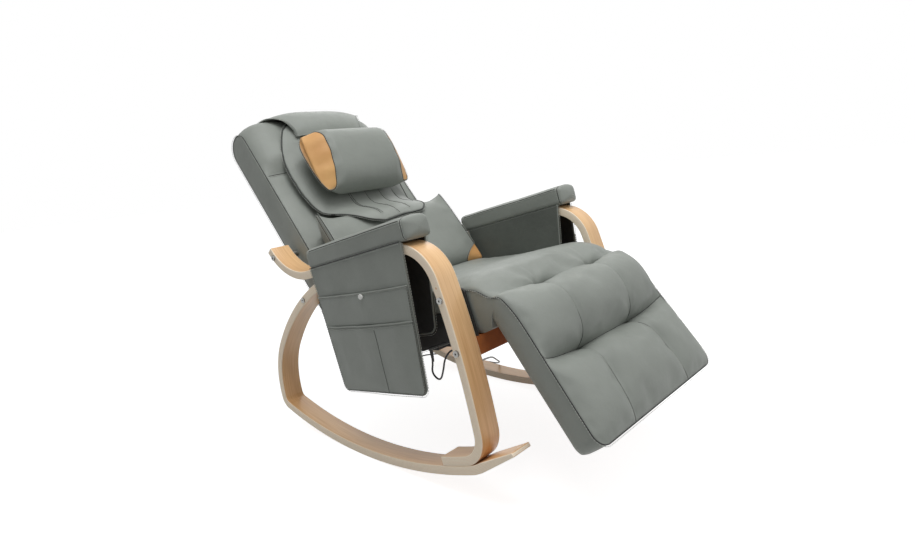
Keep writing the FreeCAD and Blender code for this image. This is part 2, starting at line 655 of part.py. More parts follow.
def legrest():
    """Tufted leg rest cushion with a round knee, on its board."""
    radius = size("knee_radius")
    low = -size("legrest_under_knee")
    end = size("legrest_length")
    heel = -math.sqrt(radius ** 2 - low ** 2)
    half = "(%s - dim.legrest_side_room)" % INSIDE
    corner = rounded([(legrest_at(heel, low), 0.0), (legrest_at(end, low), size("legrest_under_round")),
                      (legrest_at(end, radius), size("legrest_round")), (legrest_at(0.0, radius), 0.0)])
    row, rise = size("tuft_row"), radius + size("tuft_rise")
    last = end - size("legrest_round")
    steps = corner[:-1] + [("arc", legrest_at((last + row) / 2, rise), legrest_at(row, radius)),
                           ("arc", legrest_at(row / 2, rise), legrest_at(0.0, radius)),
                           ("arc", legrest_at(-radius, 0.0), legrest_at(heel, low))]
    wide = (size("frame_width") - 2 * size("strip_width") - 2 * size("legrest_side_room")) / TUFTS
    tufts = [arch("tuft_%d" % number, legrest_at(row, rise), LEGREST_ALONG, LEGREST_OUT, wide / 2,
                  size("tuft_fall"), (number - (TUFTS - 1) / 2) * wide) for number in range(TUFTS)]
    body = trim("legrest_pad", slab("legrest_pad", steps, "-" + half, half), fuse("tufts", tufts))
    slots = [sided(name + "_legrest_slot",
                   box_outline(legrest_at, -2 * radius, size("hinge_arm_ahead") + size("rest_gap"), 2 * low,
                               size("hinge_eye") + size("rest_gap")),
                   side, SLOT_IN, SLOT_OUT) for name, side in SIDES]
    node("legrest_cushion", cut("legrest_pad", body, slots))
    inset = size("legrest_board_inset")
    board_half = "(%s - dim.legrest_board_inset)" % half
    board = box_outline(legrest_at, radius, end - inset, low - size("legrest_board_thickness"), low)
    node("legrest_board", slab("legrest_board", board, "-" + board_half, board_half))


# back

def rail_edges(margin):
    """Centre line of a back rail from below the riser bolt to the top of the back."""
    gap = (TIP_BOLT[0] - RISER_BOLT[0], TIP_BOLT[1] - RISER_BOLT[1])
    low = math.degrees(math.atan2(gap[1], gap[0]))
    turn = 90.0 + size("back_recline") - low
    bend = size("front_bend_radius")
    trim = bend * math.tan(math.radians(abs(turn)) / 2)
    tail = size("cross_bar_height") / 2 + margin
    top = size("back_above_bolt") - size("back_wall") - size("cross_bar_height") / 2 + margin
    start = moved(RISER_BOLT, heading(low), -tail)
    lower = math.hypot(*gap) + tail - trim
    return run(start, low, [("line", lower), ("arc", bend, turn), ("line", top - trim)])


def bar_steps(edges, half):
    """Outline of a bar of even width, its far end closed by a straight line."""
    there = path_of(edges, -half)
    return_way = path_of(edges, half, back=True)
    return there + [("line", return_way[0][1])] + return_way[1:]


GUSSET_FRONT, GUSSET_REAR = 0.55, 0.45


def gusset_corners():
    """Plate that ties a seat bar to a back rail, which it meets at two shares of the rail's lower run."""
    front = FRAME_REAR + 3 * size("cross_bar_height")
    face = FRONT_FACE - size("bar_thickness")
    rail = rail_edges(0.0)[0]
    half = size("rail_bar_width") / 2
    return [seat_at(front, BAR_LOW), seat_at(front, BAR_TOP), seat_meets_back(BAR_TOP, face),
            along(rail, GUSSET_FRONT, -half), along(rail, GUSSET_REAR, half),
            along(rail, 0.0, half), seat_meets_back(BAR_LOW, 0.0)]


def grown(points, room):
    """Corners of a polygon whose every edge is moved outwards by the same room."""
    count = len(points)
    area = sum(points[spot - 1][0] * points[spot][1] - points[spot][0] * points[spot - 1][1]
               for spot in range(count))
    turn = math.copysign(1.0, area)
    normals = []
    for spot, here in enumerate(points):
        there = points[(spot + 1) % count]
        reach = math.dist(here, there)
        normals.append((turn * (there[1] - here[1]) / reach, turn * (here[0] - there[0]) / reach))
    moved = []
    for spot, here in enumerate(points):
        before, after = normals[spot - 1], normals[spot]
        share = room / (1.0 + before[0] * after[0] + before[1] * after[1])
        moved.append((here[0] + share * (before[0] + after[0]), here[1] + share * (before[1] + after[1])))
    return moved


GUSSET_IN = BAR_OUT
GUSSET_OUT = RAIL_IN
BACK_BARS = (0.08, 0.5, 1.0)


def back_frame():
    """Bent side rails, cross bars and gussets."""
    half = size("rail_bar_width") / 2
    edges = rail_edges(0.0)
    hole = "dim.bolt_radius + dim.bolt_clearance"
    gussets = []
    for name, side in SIDES:
        rail = sided(name + "_back_bar", bar_steps(edges, half), side, RAIL_IN, RAIL_OUT)
        holes = [sided_rod("%s_back_hole_%d" % (name, number), point, side, RAIL_IN, RAIL_OUT, hole)
                 for number, point in enumerate((TIP_BOLT, RISER_BOLT))]
        node(name + "_back_rail", cut(name + "_back_bar", rail, holes))
        gussets.append(sided(name + "_gusset", polygon(gusset_corners()), side, GUSSET_IN, GUSSET_OUT))
    node("back_gussets", group("back_gussets", gussets))
    bars = []
    tall = size("cross_bar_height")
    deep = size("cross_bar_thickness")
    upper = edges[2]
    reach = math.dist(upper["from"], upper["to"])
    for number, share in enumerate(BACK_BARS):
        top = share * reach
        corner = [along(upper, (top - tall) / reach, half - deep), along(upper, share, half - deep),
                  along(upper, share, half), along(upper, (top - tall) / reach, half)]
        bars.append(slab("back_cross_%d" % number, polygon(corner), "-" + RAIL_IN, RAIL_IN))
    node("back_cross_bars", group("back_cross_bars", bars))


def back_cushion():
    """Upholstered tray that hides the back frame, closed behind by a thin cover."""
    rear, face = -size("back_behind_bolt"), FRONT_FACE
    low, top = -size("back_below_bolt"), size("back_above_bolt")
    wall = size("back_wall")
    corner = size("back_corner_radius")
    half = "(%s - dim.back_side_room)" % INSIDE
    body = slab("back_pad", rounded([(back_at(low, rear), wall), (back_at(low, face), wall),
                                     (back_at(top, face), corner), (back_at(top, rear), corner)]),
                "-" + half, half)
    inner = "(%s - dim.back_wall)" % half
    room = size("frame_clearance")
    before_bars = size("cross_bar_thickness") - size("rail_bar_width") / 2 + room
    tools = [slab("back_hollow", box_outline(back_at, low + wall, top - wall, rear - wall,
                                             max(face - size("back_foam"), before_bars)), "-" + inner, inner)]
    lane = bar_steps(rail_edges(room), size("rail_bar_width") / 2 + room)
    for name, side in SIDES:
        tools.append(sided(name + "_rail_lane", lane, side, "(%s - dim.frame_clearance)" % RAIL_IN, inner))
        tools.append(sided(name + "_gusset_lane", polygon(grown(gusset_corners(), room)), side,
                           "(%s - dim.frame_clearance)" % GUSSET_IN, inner))
        for spot, point in (("tip", TIP_BOLT), ("riser", RISER_BOLT)):
            tools.append(sided_rod("%s_%s_sleeve_hole" % (name, spot), point, side, RAIL_OUT, half,
                                   "dim.sleeve_radius + dim.bolt_clearance"))
    node("back_cushion", cut("back_pad", body, tools))
    skin = size("cover_thickness")
    node("back_cover", slab("back_cover", box_outline(back_at, low + wall, top - corner, rear - skin, rear),
                            "-" + inner + " - dim.back_wall / 2", inner + " + dim.back_wall / 2"))


def back_dressing():
    """Padded flap over the back and the strap that holds it over the top."""
    high = size("flap_top_above_bolt")
    front = PILLOW_FACE + size("flap_thickness")
    flap = slab("flap_pad", rounded([
        (back_at(size("flap_bottom_above_bolt"), PILLOW_FACE), size("back_wall")),
        (back_at(size("flap_bottom_above_bolt"), front), size("back_wall")),
        (back_at(high, front), size("back_wall")), (back_at(high, PILLOW_FACE), size("back_wall"))]),
        "-dim.flap_width / 2", "dim.flap_width / 2")
    node("head_flap", flap)
    top = size("back_above_bolt") + size("pillow_seat_gap")
    rise = top + size("strap_rise")
    end = high + size("pillow_seat_gap")
    strap = slab("strap_pad", rounded([
        (back_at(top, -size("back_behind_bolt") + size("back_corner_radius")), 0.0),
        (back_at(rise, 0.0), size("back_corner_radius")),
        (back_at(rise, PILLOW_FACE + size("strap_rise")), size("back_corner_radius")),
        (back_at(end, front + size("flap_round")), size("back_wall") / 2),
        (back_at(end, PILLOW_FACE), 0.0),
        (back_at(top, PILLOW_FACE), 0.0)]), "-dim.strap_width / 2", "dim.strap_width / 2")
    node("top_strap", strap)


# massage drives: all in back coordinates, X across, Y up the back and Z out of it

BACK_TURN = FreeCAD.Rotation(X_AXIS, 90.0 - size("back_recline"))


def placed(thing, x, up, out, turn=None):
    """Place a primitive in back coordinates."""
    spot = back_at(up, out)
    rotation = BACK_TURN if turn is None else BACK_TURN.multiply(turn)
    thing.Placement = FreeCAD.Placement(FreeCAD.Vector(x, -spot[0], spot[1]), rotation)
    return thing


def block(name, x, up, out, length, width, height):
    """Box in back coordinates, centred on x and up, standing out from a height."""
    box = DOCUMENT.addObject("Part::Box", name)
    bind(box, "Length", length)
    bind(box, "Width", width)
    bind(box, "Height", height)
    DOCUMENT.recompute([box])
    return placed(box, x - box.Length.Value / 2, up - box.Width.Value / 2, out)


def post(name, x, up, out, radius, height):
    """Cylinder in back coordinates, standing out of the back."""
    rod = DOCUMENT.addObject("Part::Cylinder", name)
    bind(rod, "Radius", radius)
    bind(rod, "Height", height)
    return placed(rod, x, up, out)


def shaft(name, x, up, out, radius, length):
    """Cylinder in back coordinates, along X and centred on x."""
    rod = DOCUMENT.addObject("Part::Cylinder", name)
    bind(rod, "Radius", radius)
    bind(rod, "Height", length)
    DOCUMENT.recompute([rod])
    return placed(rod, x - rod.Height.Value / 2, up, out, FreeCAD.Rotation(FreeCAD.Vector(0, 1, 0), 90))


def massage_drive(kind, up, out):
    """Plate with bearings, motor, worm shaft and two kneading heads; returns the pocket it needs."""
    head = "dim.%s_head_radius" % kind
    knob = "dim.%s_ball_radius" % kind
    radius = size(kind + "_head_radius")
    ball_at = radius - size(kind + "_ball_radius") - size("head_gap")
    plate = size("drive_plate")
    spread = radius + size("head_spread")
    axis_out = out + plate + size("motor_radius")
    axis_up = up + size("wheel_radius") + size("worm_radius") + size("mesh_gap")
    disc_out = axis_out + size("motor_radius") + size("head_gap")
    length = "4 * %s + 2 * dim.head_spread + 2 * dim.drive_margin" % head
    width = "2 * %s + 2 * dim.drive_margin" % head
    base = [block(kind + "_plate", 0.0, up, out, length, width, "dim.drive_plate")]
    bores = []
    bearing_at = spread + size("worm_length") / 2 + size("bearing_width")
    for name, side in SIDES:
        base.append(block("%s_%s_bearing" % (kind, name), side * bearing_at, axis_up, out + plate,
                          "dim.bearing_width", "dim.motor_radius", "dim.motor_radius + dim.worm_radius"))
        bores.append(post("%s_%s_seat" % (kind, name), side * spread, up, out,
                          "dim.spindle_radius + dim.run_clearance", "dim.drive_plate"))
    through = "2 * (%s + dim.head_spread) + dim.worm_length + 3 * dim.bearing_width" % head
    bores.append(shaft(kind + "_shaft_bore", 0.0, axis_up, axis_out, "dim.shaft_radius + dim.run_clearance",
                       through + " + dim.bearing_width"))
    node(kind + "_drive_plate", cut(kind + "_base", fuse(kind + "_base", base), bores))
    can = shaft(kind + "_can", 0.0, axis_up, axis_out, "dim.motor_radius", "dim.motor_length")
    can_bore = shaft(kind + "_can_bore", 0.0, axis_up, axis_out, "dim.shaft_radius + dim.run_clearance",
                     "dim.motor_length")
    node(kind + "_motor", cut(kind + "_can", can, [can_bore]))
    worms = [shaft(kind + "_rod", 0.0, axis_up, axis_out, "dim.shaft_radius", through)]
    for name, side in SIDES:
        worms.append(shaft("%s_%s_worm" % (kind, name), side * spread, axis_up, axis_out, "dim.worm_radius",
                           "dim.worm_length"))
        title = "%s_%s_head" % (kind, name)
        wheel_out = axis_out - size("wheel_thickness") / 2
        pieces = [post(title + "_spindle", side * spread, up, out, "dim.spindle_radius",
                       "dim.drive_plate + 2 * dim.motor_radius + dim.head_gap + dim.head_thickness"),
                  post(title + "_wheel", side * spread, up, wheel_out, "dim.wheel_radius",
                       "dim.wheel_thickness"),
                  post(title + "_disc", side * spread, up, disc_out, head, "dim.head_thickness")]
        for number, way in enumerate((1, -1)):
            ball = DOCUMENT.addObject("Part::Sphere", "%s_ball_%d" % (title, number))
            bind(ball, "Radius", knob)
            pieces.append(placed(ball, side * spread + way * ball_at, up, disc_out + size("head_thickness")))
        node(title, fuse(title, pieces))
    node(kind + "_worm_shaft", fuse(kind + "_worms", worms))
    deep = ("dim.drive_plate + 2 * dim.motor_radius + dim.head_gap + dim.head_thickness + %s"
            " + dim.drive_margin + dim.drive_fit") % knob
    return block(kind + "_pocket", 0.0, up, out - size("drive_fit"), length + " + 2 * dim.drive_fit",
                 width + " + 2 * dim.drive_fit", deep)


def pillows():
    """Neck and lumbar pillows, each open behind for its massage drive."""
    over = size("knee_radius") + size("pillow_seat_gap")
    front = PILLOW_FACE + size("lumbar_thickness")
    radius = size("lumbar_round")
    head = size("lumbar_top_above_bolt")
    lumbar = slab("lumbar_pad", rounded([
        (seat_meets_back(over, PILLOW_FACE), radius / 3), (back_at(head, PILLOW_FACE), radius / 2),
        (back_at(head, front), radius), (seat_meets_back(over, front), radius)]),
        "-dim.lumbar_width / 2", "dim.lumbar_width / 2")
    drive_up = head - size("lumbar_drive_drop")
    node("lumbar_pillow", cut("lumbar_pad", lumbar, [massage_drive("lumbar", drive_up, PILLOW_FACE)]))
    rear = PILLOW_FACE + size("flap_thickness") + size("pillow_seat_gap")
    face = rear + size("neck_thickness")
    low = size("neck_above_bolt")
    top = low + size("neck_length")
    radius = size("neck_round")
    neck = slab("neck_pad", rounded([
        (back_at(low, rear), radius / 2), (back_at(low, face), radius),
        (back_at(top, face), radius), (back_at(top, rear), radius / 2)]),
        "-dim.neck_width / 2", "dim.neck_width / 2")
    node("neck_pillow", cut("neck_pad", neck, [massage_drive("neck", (low + top) / 2, rear)]))


# arm pads and hanging panels

PAD_MID = "(%s + dim.strip_width / 2)" % INSIDE
PAD_OUT = "(%s + dim.pad_width / 2)" % PAD_MID
PAD_IN = "(%s - dim.pad_width / 2)" % PAD_MID
PANEL_OUT = "(%s - dim.panel_inset)" % PAD_OUT
PANEL_IN = "(%s - dim.panel_thickness)" % PANEL_OUT
LINING_IN = "(%s + dim.panel_inset)" % PAD_IN
LINING_OUT = "(%s + dim.panel_thickness)" % LINING_IN


def panel_edge(drop, end):
    """Distance along the arm of the outer panel's front or rear edge at a drop below the pad."""
    share = drop / size("outer_panel_drop")
    top, low = size("outer_panel_top_" + end), size("outer_panel_low_" + end)
    way = 1.0 if end == "front" else -1.0
    return way * (top + share * (low - top))


def pocket_face(tier):
    """Distance from the middle of the outer face of the upper or the lower pocket."""
    return "(%s + dim.%s_pocket_depth)" % (PANEL_OUT, tier)


def pocket(name, side, tier, top, low):
    """Patch pocket that stands off the outer panel and is open at its hem."""
    title = "%s_%s_pocket" % (name, tier)
    face = pocket_face(tier)
    inset, hem = size("pocket_side"), size("pocket_hem")

    def corners(edge, bottom, head):
        return [(arm_at(panel_edge(low, "rear") + edge, -bottom), 0.0),
                (arm_at(panel_edge(low, "front") - edge, -bottom), 0.0),
                (arm_at(panel_edge(top, "front") - edge, -head), 0.0),
                (arm_at(panel_edge(top, "rear") + edge, -head), 0.0)]
    patch = sided(title + "_patch", rounded(corners(inset, low, top)), side, PANEL_OUT, face)
    hollow = sided(title + "_hollow", rounded(corners(inset + hem, low - hem, top - hem)), side, PANEL_OUT,
                   "(%s - dim.pocket_cloth)" % face)
    node(title, cut(title, patch, [hollow]))


def arms():
    """Arm pads, outer panels with pockets and snaps, and inner linings."""
    radius = size("pad_nose_radius")
    corner = size("panel_corner_radius")
    snaps = []
    for name, side in SIDES:
        ahead, behind, high = size("pad_nose_ahead"), -size("pad_rear_behind"), size("pad_height")
        pad = sided(name + "_pad", rounded([
            (arm_at(behind, 0.0), 0.0), (arm_at(ahead, 0.0), radius), (arm_at(ahead, high), radius),
            (arm_at(behind, high), radius / 3)]), side, PAD_IN, PAD_OUT)
        node(name + "_arm_pad", pad)
        drop = size("outer_panel_drop")
        node(name + "_outer_panel", sided(name + "_outer_panel", rounded([
            (arm_at(panel_edge(drop, "rear"), -drop), corner),
            (arm_at(panel_edge(drop, "front"), -drop), corner),
            (arm_at(panel_edge(0.0, "front"), 0.0), 0.0), (arm_at(panel_edge(0.0, "rear"), 0.0), 0.0)]),
            side, PANEL_IN, PANEL_OUT))
        fall = size("inner_panel_drop")
        node(name + "_inner_panel", sided(name + "_inner_panel", rounded([
            (arm_at(-size("inner_panel_low_rear"), -fall), corner),
            (arm_at(size("inner_panel_low_front"), -fall), corner),
            (arm_at(size("inner_panel_top_front"), 0.0), 0.0),
            (arm_at(-size("inner_panel_top_rear"), 0.0), 0.0)]), side, LINING_IN, LINING_OUT))
        upper, lower = size("upper_pocket_drop"), size("lower_pocket_drop")
        pocket(name, side, "upper", upper, lower - size("pocket_lap"))
        pocket(name, side, "lower", lower, drop - corner)
        middle = (panel_edge(upper, "front") + panel_edge(upper, "rear")) / 2
        snaps.append(sided_rod(name + "_snap", arm_at(middle, -upper - 2 * size("snap_radius")), side,
                               pocket_face("upper"), "(%s + dim.snap_height)" % pocket_face("upper"),
                               "dim.snap_radius"))
    node("pocket_snaps", group("pocket_snaps", snaps))


# control box and power lead

LEAD_ROUTE = [
    (-185.0, 168.3, 274.6), (-186.0, 172.5, 244.9), (-188.0, 164.0, 212.0), (-190.0, 196.0, 196.0),
    (-191.0, 212.0, 228.0), (-189.0, 220.0, 264.0), (-180.0, 242.0, 290.0), (-162.0, 266.0, 274.0),
    (-128.0, 256.0, 246.0), (-82.0, 226.0, 221.0), (-32.0, 192.0, 199.0), (20.0, 156.0, 178.0),
    (74.0, 120.0, 158.0), (128.0, 85.0, 138.0), (180.0, 51.0, 117.0), (228.0, 19.0, 92.0),
    (272.0, -10.0, 66.0), (312.0, -36.0, 44.0), (346.0, -62.0, 24.0), (368.0, -94.0, 7.0),
    (372.0, -138.0, 3.0), (370.0, -192.0, 3.0), (372.0, -248.0, 3.0), (370.0, -302.0, 3.0),
    (358.0, -354.0, 3.0), (326.0, -398.0, 3.0), (278.0, -424.0, 3.0), (222.0, -434.0, 3.0),
    (176.0, -432.0, 3.0), (134.0, -429.0, 3.0),
]


CORNER_SHARE = 0.45


def lead_path(points):
    """Straight runs joined by tangent arcs, each as wide as its shorter neighbour allows."""
    spots = [FreeCAD.Vector(x, -ahead, up) for x, ahead, up in points]
    edges = []
    radii = []
    here = spots[0]
    for before, corner, after in zip(spots, spots[1:], spots[2:]):
        back = (before - corner).normalize()
        ahead = (after - corner).normalize()
        trim = CORNER_SHARE * min((before - corner).Length, (after - corner).Length)
        half = back.getAngle(ahead) / 2
        first = corner + back * trim
        last = corner + ahead * trim
        reach = trim / math.cos(half) - trim * math.tan(half)
        radii.append(round(trim * math.tan(half)))
        crown = corner + (back + ahead).normalize() * reach
        edges.append(Part.makeLine(here, first))
        edges.append(Part.Arc(first, crown, last).toShape())
        here = last
    edges.append(Part.makeLine(here, spots[-1]))
    print("lead corner radii", radii)
    return Part.Wire(edges)


def power_lead():
    """Control box with its gland, the free lead, its put-away coil and the plug."""
    rear = along_frame(size("box_share")) - size("box_length") / 2
    front = rear + size("box_length")
    low = BAR_TOP - size("box_height")
    case = slab("box_case", box_outline(seat_at, rear, front, low, BAR_TOP),
                "-(dim.box_from_middle + dim.box_width)", "-dim.box_from_middle")
    gland = DOCUMENT.addObject("Part::Cylinder", "box_gland")
    bind(gland, "Radius", "dim.gland_radius")
    bind(gland, "Height", "dim.gland_height")
    mouth = seat_at(rear + size("gland_inset"), low - size("gland_height"))
    across_box = -size("box_from_middle") - size("box_width") + size("gland_inset")
    gland.Placement = FreeCAD.Placement(FreeCAD.Vector(across_box, -mouth[0], mouth[1]),
                                        FreeCAD.Rotation(X_AXIS, -size("seat_slope")))
    node("control_box", fuse("control_box", [case, gland]))
    path = DOCUMENT.addObject("Part::Feature", "lead_line")
    path.Shape = lead_path(LEAD_ROUTE)
    ring = DOCUMENT.addObject("Part::Circle", "lead_section")
    bind(ring, "Radius", "dim.lead_radius")
    start = path.Shape.Edges[0]
    way = start.tangentAt(start.FirstParameter)
    ring.Placement = FreeCAD.Placement(start.Vertexes[0].Point,
                                       FreeCAD.Rotation(FreeCAD.Vector(0, 0, 1), way))
    tube = DOCUMENT.addObject("Part::Sweep", "lead_tube")
    tube.Sections = [ring]
    tube.Spine = (path, ["Edge%d" % number for number in range(1, len(path.Shape.Edges) + 1)])
    tube.Solid = True
    node("power_lead", tube)
    coil = DOCUMENT.addObject("Part::Torus", "lead_hank")
    bind(coil, "Radius1", "dim.coil_radius")
    bind(coil, "Radius2", "dim.coil_half_width")
    coil.Placement.Base = FreeCAD.Vector(size("coil_from_middle"), size("coil_behind"),
                                         size("coil_half_width"))
    node("lead_coil", coil)
    half = size("plug_half_width")
    leaves = size("coil_from_middle")
    butt = leaves - size("plug_from_coil")
    middle = size("coil_behind") + size("coil_radius")
    pin_reach = "dim.plug_length + dim.plug_pin_length"
    pieces = []
    for name, origin, side, reach, radius in (
            ("plug_tail", leaves, 0, "dim.plug_from_coil", "dim.lead_radius"),
            ("plug_body", butt, 0, "dim.plug_length", "dim.plug_half_width"),
            ("plug_pin_one", butt, 1, pin_reach, "dim.plug_pin_radius"),
            ("plug_pin_two", butt, -1, pin_reach, "dim.plug_pin_radius")):
        rod = DOCUMENT.addObject("Part::Cylinder", name)
        bind(rod, "Radius", radius)
        bind(rod, "Height", reach)
        rod.Placement = FreeCAD.Placement(
            FreeCAD.Vector(origin, middle + side * size("plug_pin_spacing") / 2, half),
            FreeCAD.Rotation(FreeCAD.Vector(0, 1, 0), -90))
        pieces.append(rod)
    node("lead_plug", fuse("lead_plug", pieces))


side_frames()
front_rail()
fasteners()
seat_cushion()
seat_base()
seat_ears()
knee_hinges()
legrest()
back_frame()
back_cushion()
back_dressing()
pillows()
arms()
power_lead()

DOCUMENT.recompute()
for label, thing in NODES.items():
    if "Invalid" in thing.State or thing.Shape.isNull() or not thing.Shape.isValid():
        raise RuntimeError("%s does not build: %s" % (label, thing.State))
for thing in DOCUMENT.Objects:
    if "Invalid" in thing.State:
        raise RuntimeError("%s is invalid" % thing.Name)
os.makedirs("parts", exist_ok=True)
for label, thing in NODES.items():
    thing.Shape.exportStep("parts/%s.step" % label)
    print(label, len(thing.Shape.Solids), round(thing.Shape.Volume / 1e3, 1))
lead = DOCUMENT.getObject("lead_line").Shape.Length
section = math.pi * size("lead_radius") ** 2
print("lead", round(lead, 1), "mm, section times length", round(section * lead / 1e3, 1))
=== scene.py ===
"""Massage rocking chair: bentwood, cushions, hanging panels and lead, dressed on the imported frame."""

import json
import logging
from dataclasses import dataclass
from enum import Enum, IntEnum
from typing import ClassVar, Iterable, Optional, Sequence

import bmesh
import bpy
import numpy as np
from mathutils import Matrix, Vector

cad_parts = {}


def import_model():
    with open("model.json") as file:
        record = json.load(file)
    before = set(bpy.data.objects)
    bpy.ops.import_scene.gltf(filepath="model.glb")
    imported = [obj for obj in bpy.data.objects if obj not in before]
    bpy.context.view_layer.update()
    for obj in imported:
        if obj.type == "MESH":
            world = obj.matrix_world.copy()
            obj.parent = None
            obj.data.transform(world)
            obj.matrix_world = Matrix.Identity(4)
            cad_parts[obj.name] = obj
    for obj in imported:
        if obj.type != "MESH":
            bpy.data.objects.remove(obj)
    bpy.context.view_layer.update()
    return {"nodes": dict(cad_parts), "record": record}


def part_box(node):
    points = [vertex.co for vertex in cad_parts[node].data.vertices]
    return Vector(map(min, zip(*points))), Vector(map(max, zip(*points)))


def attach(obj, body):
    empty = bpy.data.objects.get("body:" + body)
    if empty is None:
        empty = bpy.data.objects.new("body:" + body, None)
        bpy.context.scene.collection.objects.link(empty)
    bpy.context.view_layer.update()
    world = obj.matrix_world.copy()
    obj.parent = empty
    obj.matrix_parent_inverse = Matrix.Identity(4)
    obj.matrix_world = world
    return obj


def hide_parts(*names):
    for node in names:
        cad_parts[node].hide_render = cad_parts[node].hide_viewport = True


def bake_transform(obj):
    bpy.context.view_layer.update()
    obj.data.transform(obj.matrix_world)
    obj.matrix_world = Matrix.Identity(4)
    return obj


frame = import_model()
LOG = logging.getLogger("rocking_chair")
Array, Socket, Piece = np.ndarray, bpy.types.NodeSocket, bpy.types.Object
Real = float | Array
Pair, Triple, Row = tuple[float, float], tuple[float, float, float], tuple[float, ...]
SIDES = {"left": 1.0, "right": -1.0}
ACROSS, UPWARD = np.array([1.0, 0.0, 0.0]), np.array([0.0, 0.0, 1.0])


# side-plane geometry: points are (ahead, up) pairs, x runs across

def heading(degrees: Real) -> Array:
    """Unit vectors (ahead, up) at angles from straight ahead, turning upwards: cosine and sine."""
    turn = np.radians(degrees)
    return np.stack([np.cos(turn), np.sin(turn)], axis=-1)


def world(x: Real, side: Array) -> Array:
    """Points (x, -ahead, up) of the chair's frame, which faces -Y, from x and pairs (ahead, up)."""
    across = np.broadcast_to(np.asarray(x, float), side.shape[:-1])
    return np.stack([across, -side[..., 0], side[..., 1]], axis=-1)


def well(distance: Array, width: float) -> Array:
    """Crease profile: 1 on the line, falling off as e to the minus distance over width."""
    return np.exp(-np.abs(distance) / width)


def step_up(value: Array, first: float, last: float) -> Array:
    """Smooth step from 0 at first to 1 at last: three times the square of the share, less twice its cube."""
    share = ramp(value, first, last)
    return share ** 2 * (3.0 - 2.0 * share)


def ramp(value: Array, first: float, last: float) -> Array:
    """Straight share from 0 at first to 1 at last, and level beyond them."""
    return np.clip((value - first) / (last - first), 0.0, 1.0)


def around(count: int) -> Array:
    """Angles of a full turn in equal steps, in radians."""
    return np.linspace(0.0, 2 * np.pi, count, endpoint=False)


@dataclass(frozen=True)
class Bend:
    """One stretch of a path: a straight run, or an arc when it turns.

    A point at a share of the stretch lies on the arc's circle, whose radius is length over turn, and an
    offset moves it towards the left of the travel.
    """

    start: Pair
    way: float
    length: float
    turn: float = 0.0

    def way_at(self, share: Real) -> Array:
        """Heading in degrees at shares of the stretch."""
        return self.way + self.turn * np.asarray(share, float)

    def at(self, share: Real, offset: Real = 0.0) -> Array:
        """Points (ahead, up) at shares of the stretch, offset to the left of the travel."""
        share = np.asarray(share, float)
        left = heading(self.way_at(share) + 90.0)
        if self.turn == 0.0:
            run = np.asarray(self.start) + heading(self.way) * (share * self.length)[..., None]
            return run + left * np.asarray(offset)[..., None]
        radius = self.length / np.radians(self.turn)
        centre = np.asarray(self.start) + heading(self.way + 90.0) * radius
        return centre - left * np.asarray(radius - offset)[..., None]


def bow(radius: float, turn: float) -> Pair:
    """Length and turn of an arc of that radius."""
    return radius * abs(np.radians(turn)), turn


def chain(start: Sequence[float], way: float, pieces: Iterable[Pair]) -> list[Bend]:
    """Stretches that follow each other without a kink.

    Args:
        start: First point (ahead, up).
        way: First heading in degrees.
        pieces: Length and turn of each stretch.

    Returns:
        The stretches in order.
    """
    bends: list[Bend] = []
    for length, turn in pieces:
        bends.append(Bend(tuple(start), way, length, turn))
        start, way = bends[-1].at(1.0), way + turn
    return bends


def sample(bends: Sequence[Bend], step: float) -> tuple[Array, Array]:
    """Points and left normals along a chain, about one step apart.

    Args:
        bends: The stretches.
        step: Greatest distance between neighbours.

    Returns:
        Points (N, 2) and unit normals (N, 2).
    """
    points, lefts = [], []
    for bend in bends:
        share = np.linspace(0.0, 1.0, max(2, int(np.ceil(bend.length / step)) + 1))
        keep = share if bend is bends[-1] else share[:-1]
        points.append(bend.at(keep))
        lefts.append(heading(bend.way_at(keep) + 90.0))
    return np.concatenate(points), np.concatenate(lefts)


def run_of(points: Array) -> Array:
    """Distance along a line of points from its first one."""
    gaps = np.linalg.norm(np.diff(points, axis=0), axis=-1)
    return np.concatenate([[0.0], np.cumsum(gaps)])


@dataclass(frozen=True)
class Slope:
    """Straight local frame in the side plane: along a slope, and out of it to the left."""

    origin: Pair
    way: float

    def at(self, along: Real, out: Real) -> Array:
        """Side-plane points at distances along the slope and out of it."""
        along, out = np.broadcast_arrays(np.asarray(along, float), np.asarray(out, float))
        ahead = heading(self.way)
        return np.asarray(self.origin) + along[..., None] * ahead + out[..., None] * self.outward

    @property
    def outward(self) -> Array:
        """Unit vector out of the slope."""
        return heading(self.way + 90.0)


# meshes

WELD = 2e-5
PATTERN_STEP = 0.01
CAP_RISE = 0.5


@dataclass
class Patch:
    """A grid of points, with one pattern scale per row and per column.

    Rows or columns may close on themselves; along and across are then one longer than the grid.
    """

    points: Array
    along: Optional[Array] = None
    across: Optional[Array] = None
    loop_rows: bool = False
    loop_cols: bool = False
    finish: int = 0

    def faces(self) -> tuple[Array, Array]:
        """Corner numbers of the quads and the pattern place of each corner.

        Returns:
            Indices (F, 4) into the flattened grid, and pairs (F, 4, 2).
        """
        rows, cols = self.points.shape[:2]
        count = rows + self.loop_rows, cols + self.loop_cols
        along = np.arange(count[0]) * PATTERN_STEP if self.along is None else np.asarray(self.along)
        across = np.arange(count[1]) * PATTERN_STEP if self.across is None else np.asarray(self.across)
        row, col = np.meshgrid(np.arange(count[0] - 1), np.arange(count[1] - 1), indexing="ij")
        row, col = row.reshape(-1, 1) + [[0, 1, 1, 0]], col.reshape(-1, 1) + [[0, 0, 1, 1]]
        return (row % rows) * cols + col % cols, np.stack([along[row], across[col]], axis=-1)


def rim_of(grid: Array) -> Array:
    """Free edge of a grid that hangs by its first row: down one side, along the last row and up again."""
    return np.concatenate([grid[:, 0], grid[-1, 1:-1], grid[::-1, -1]])


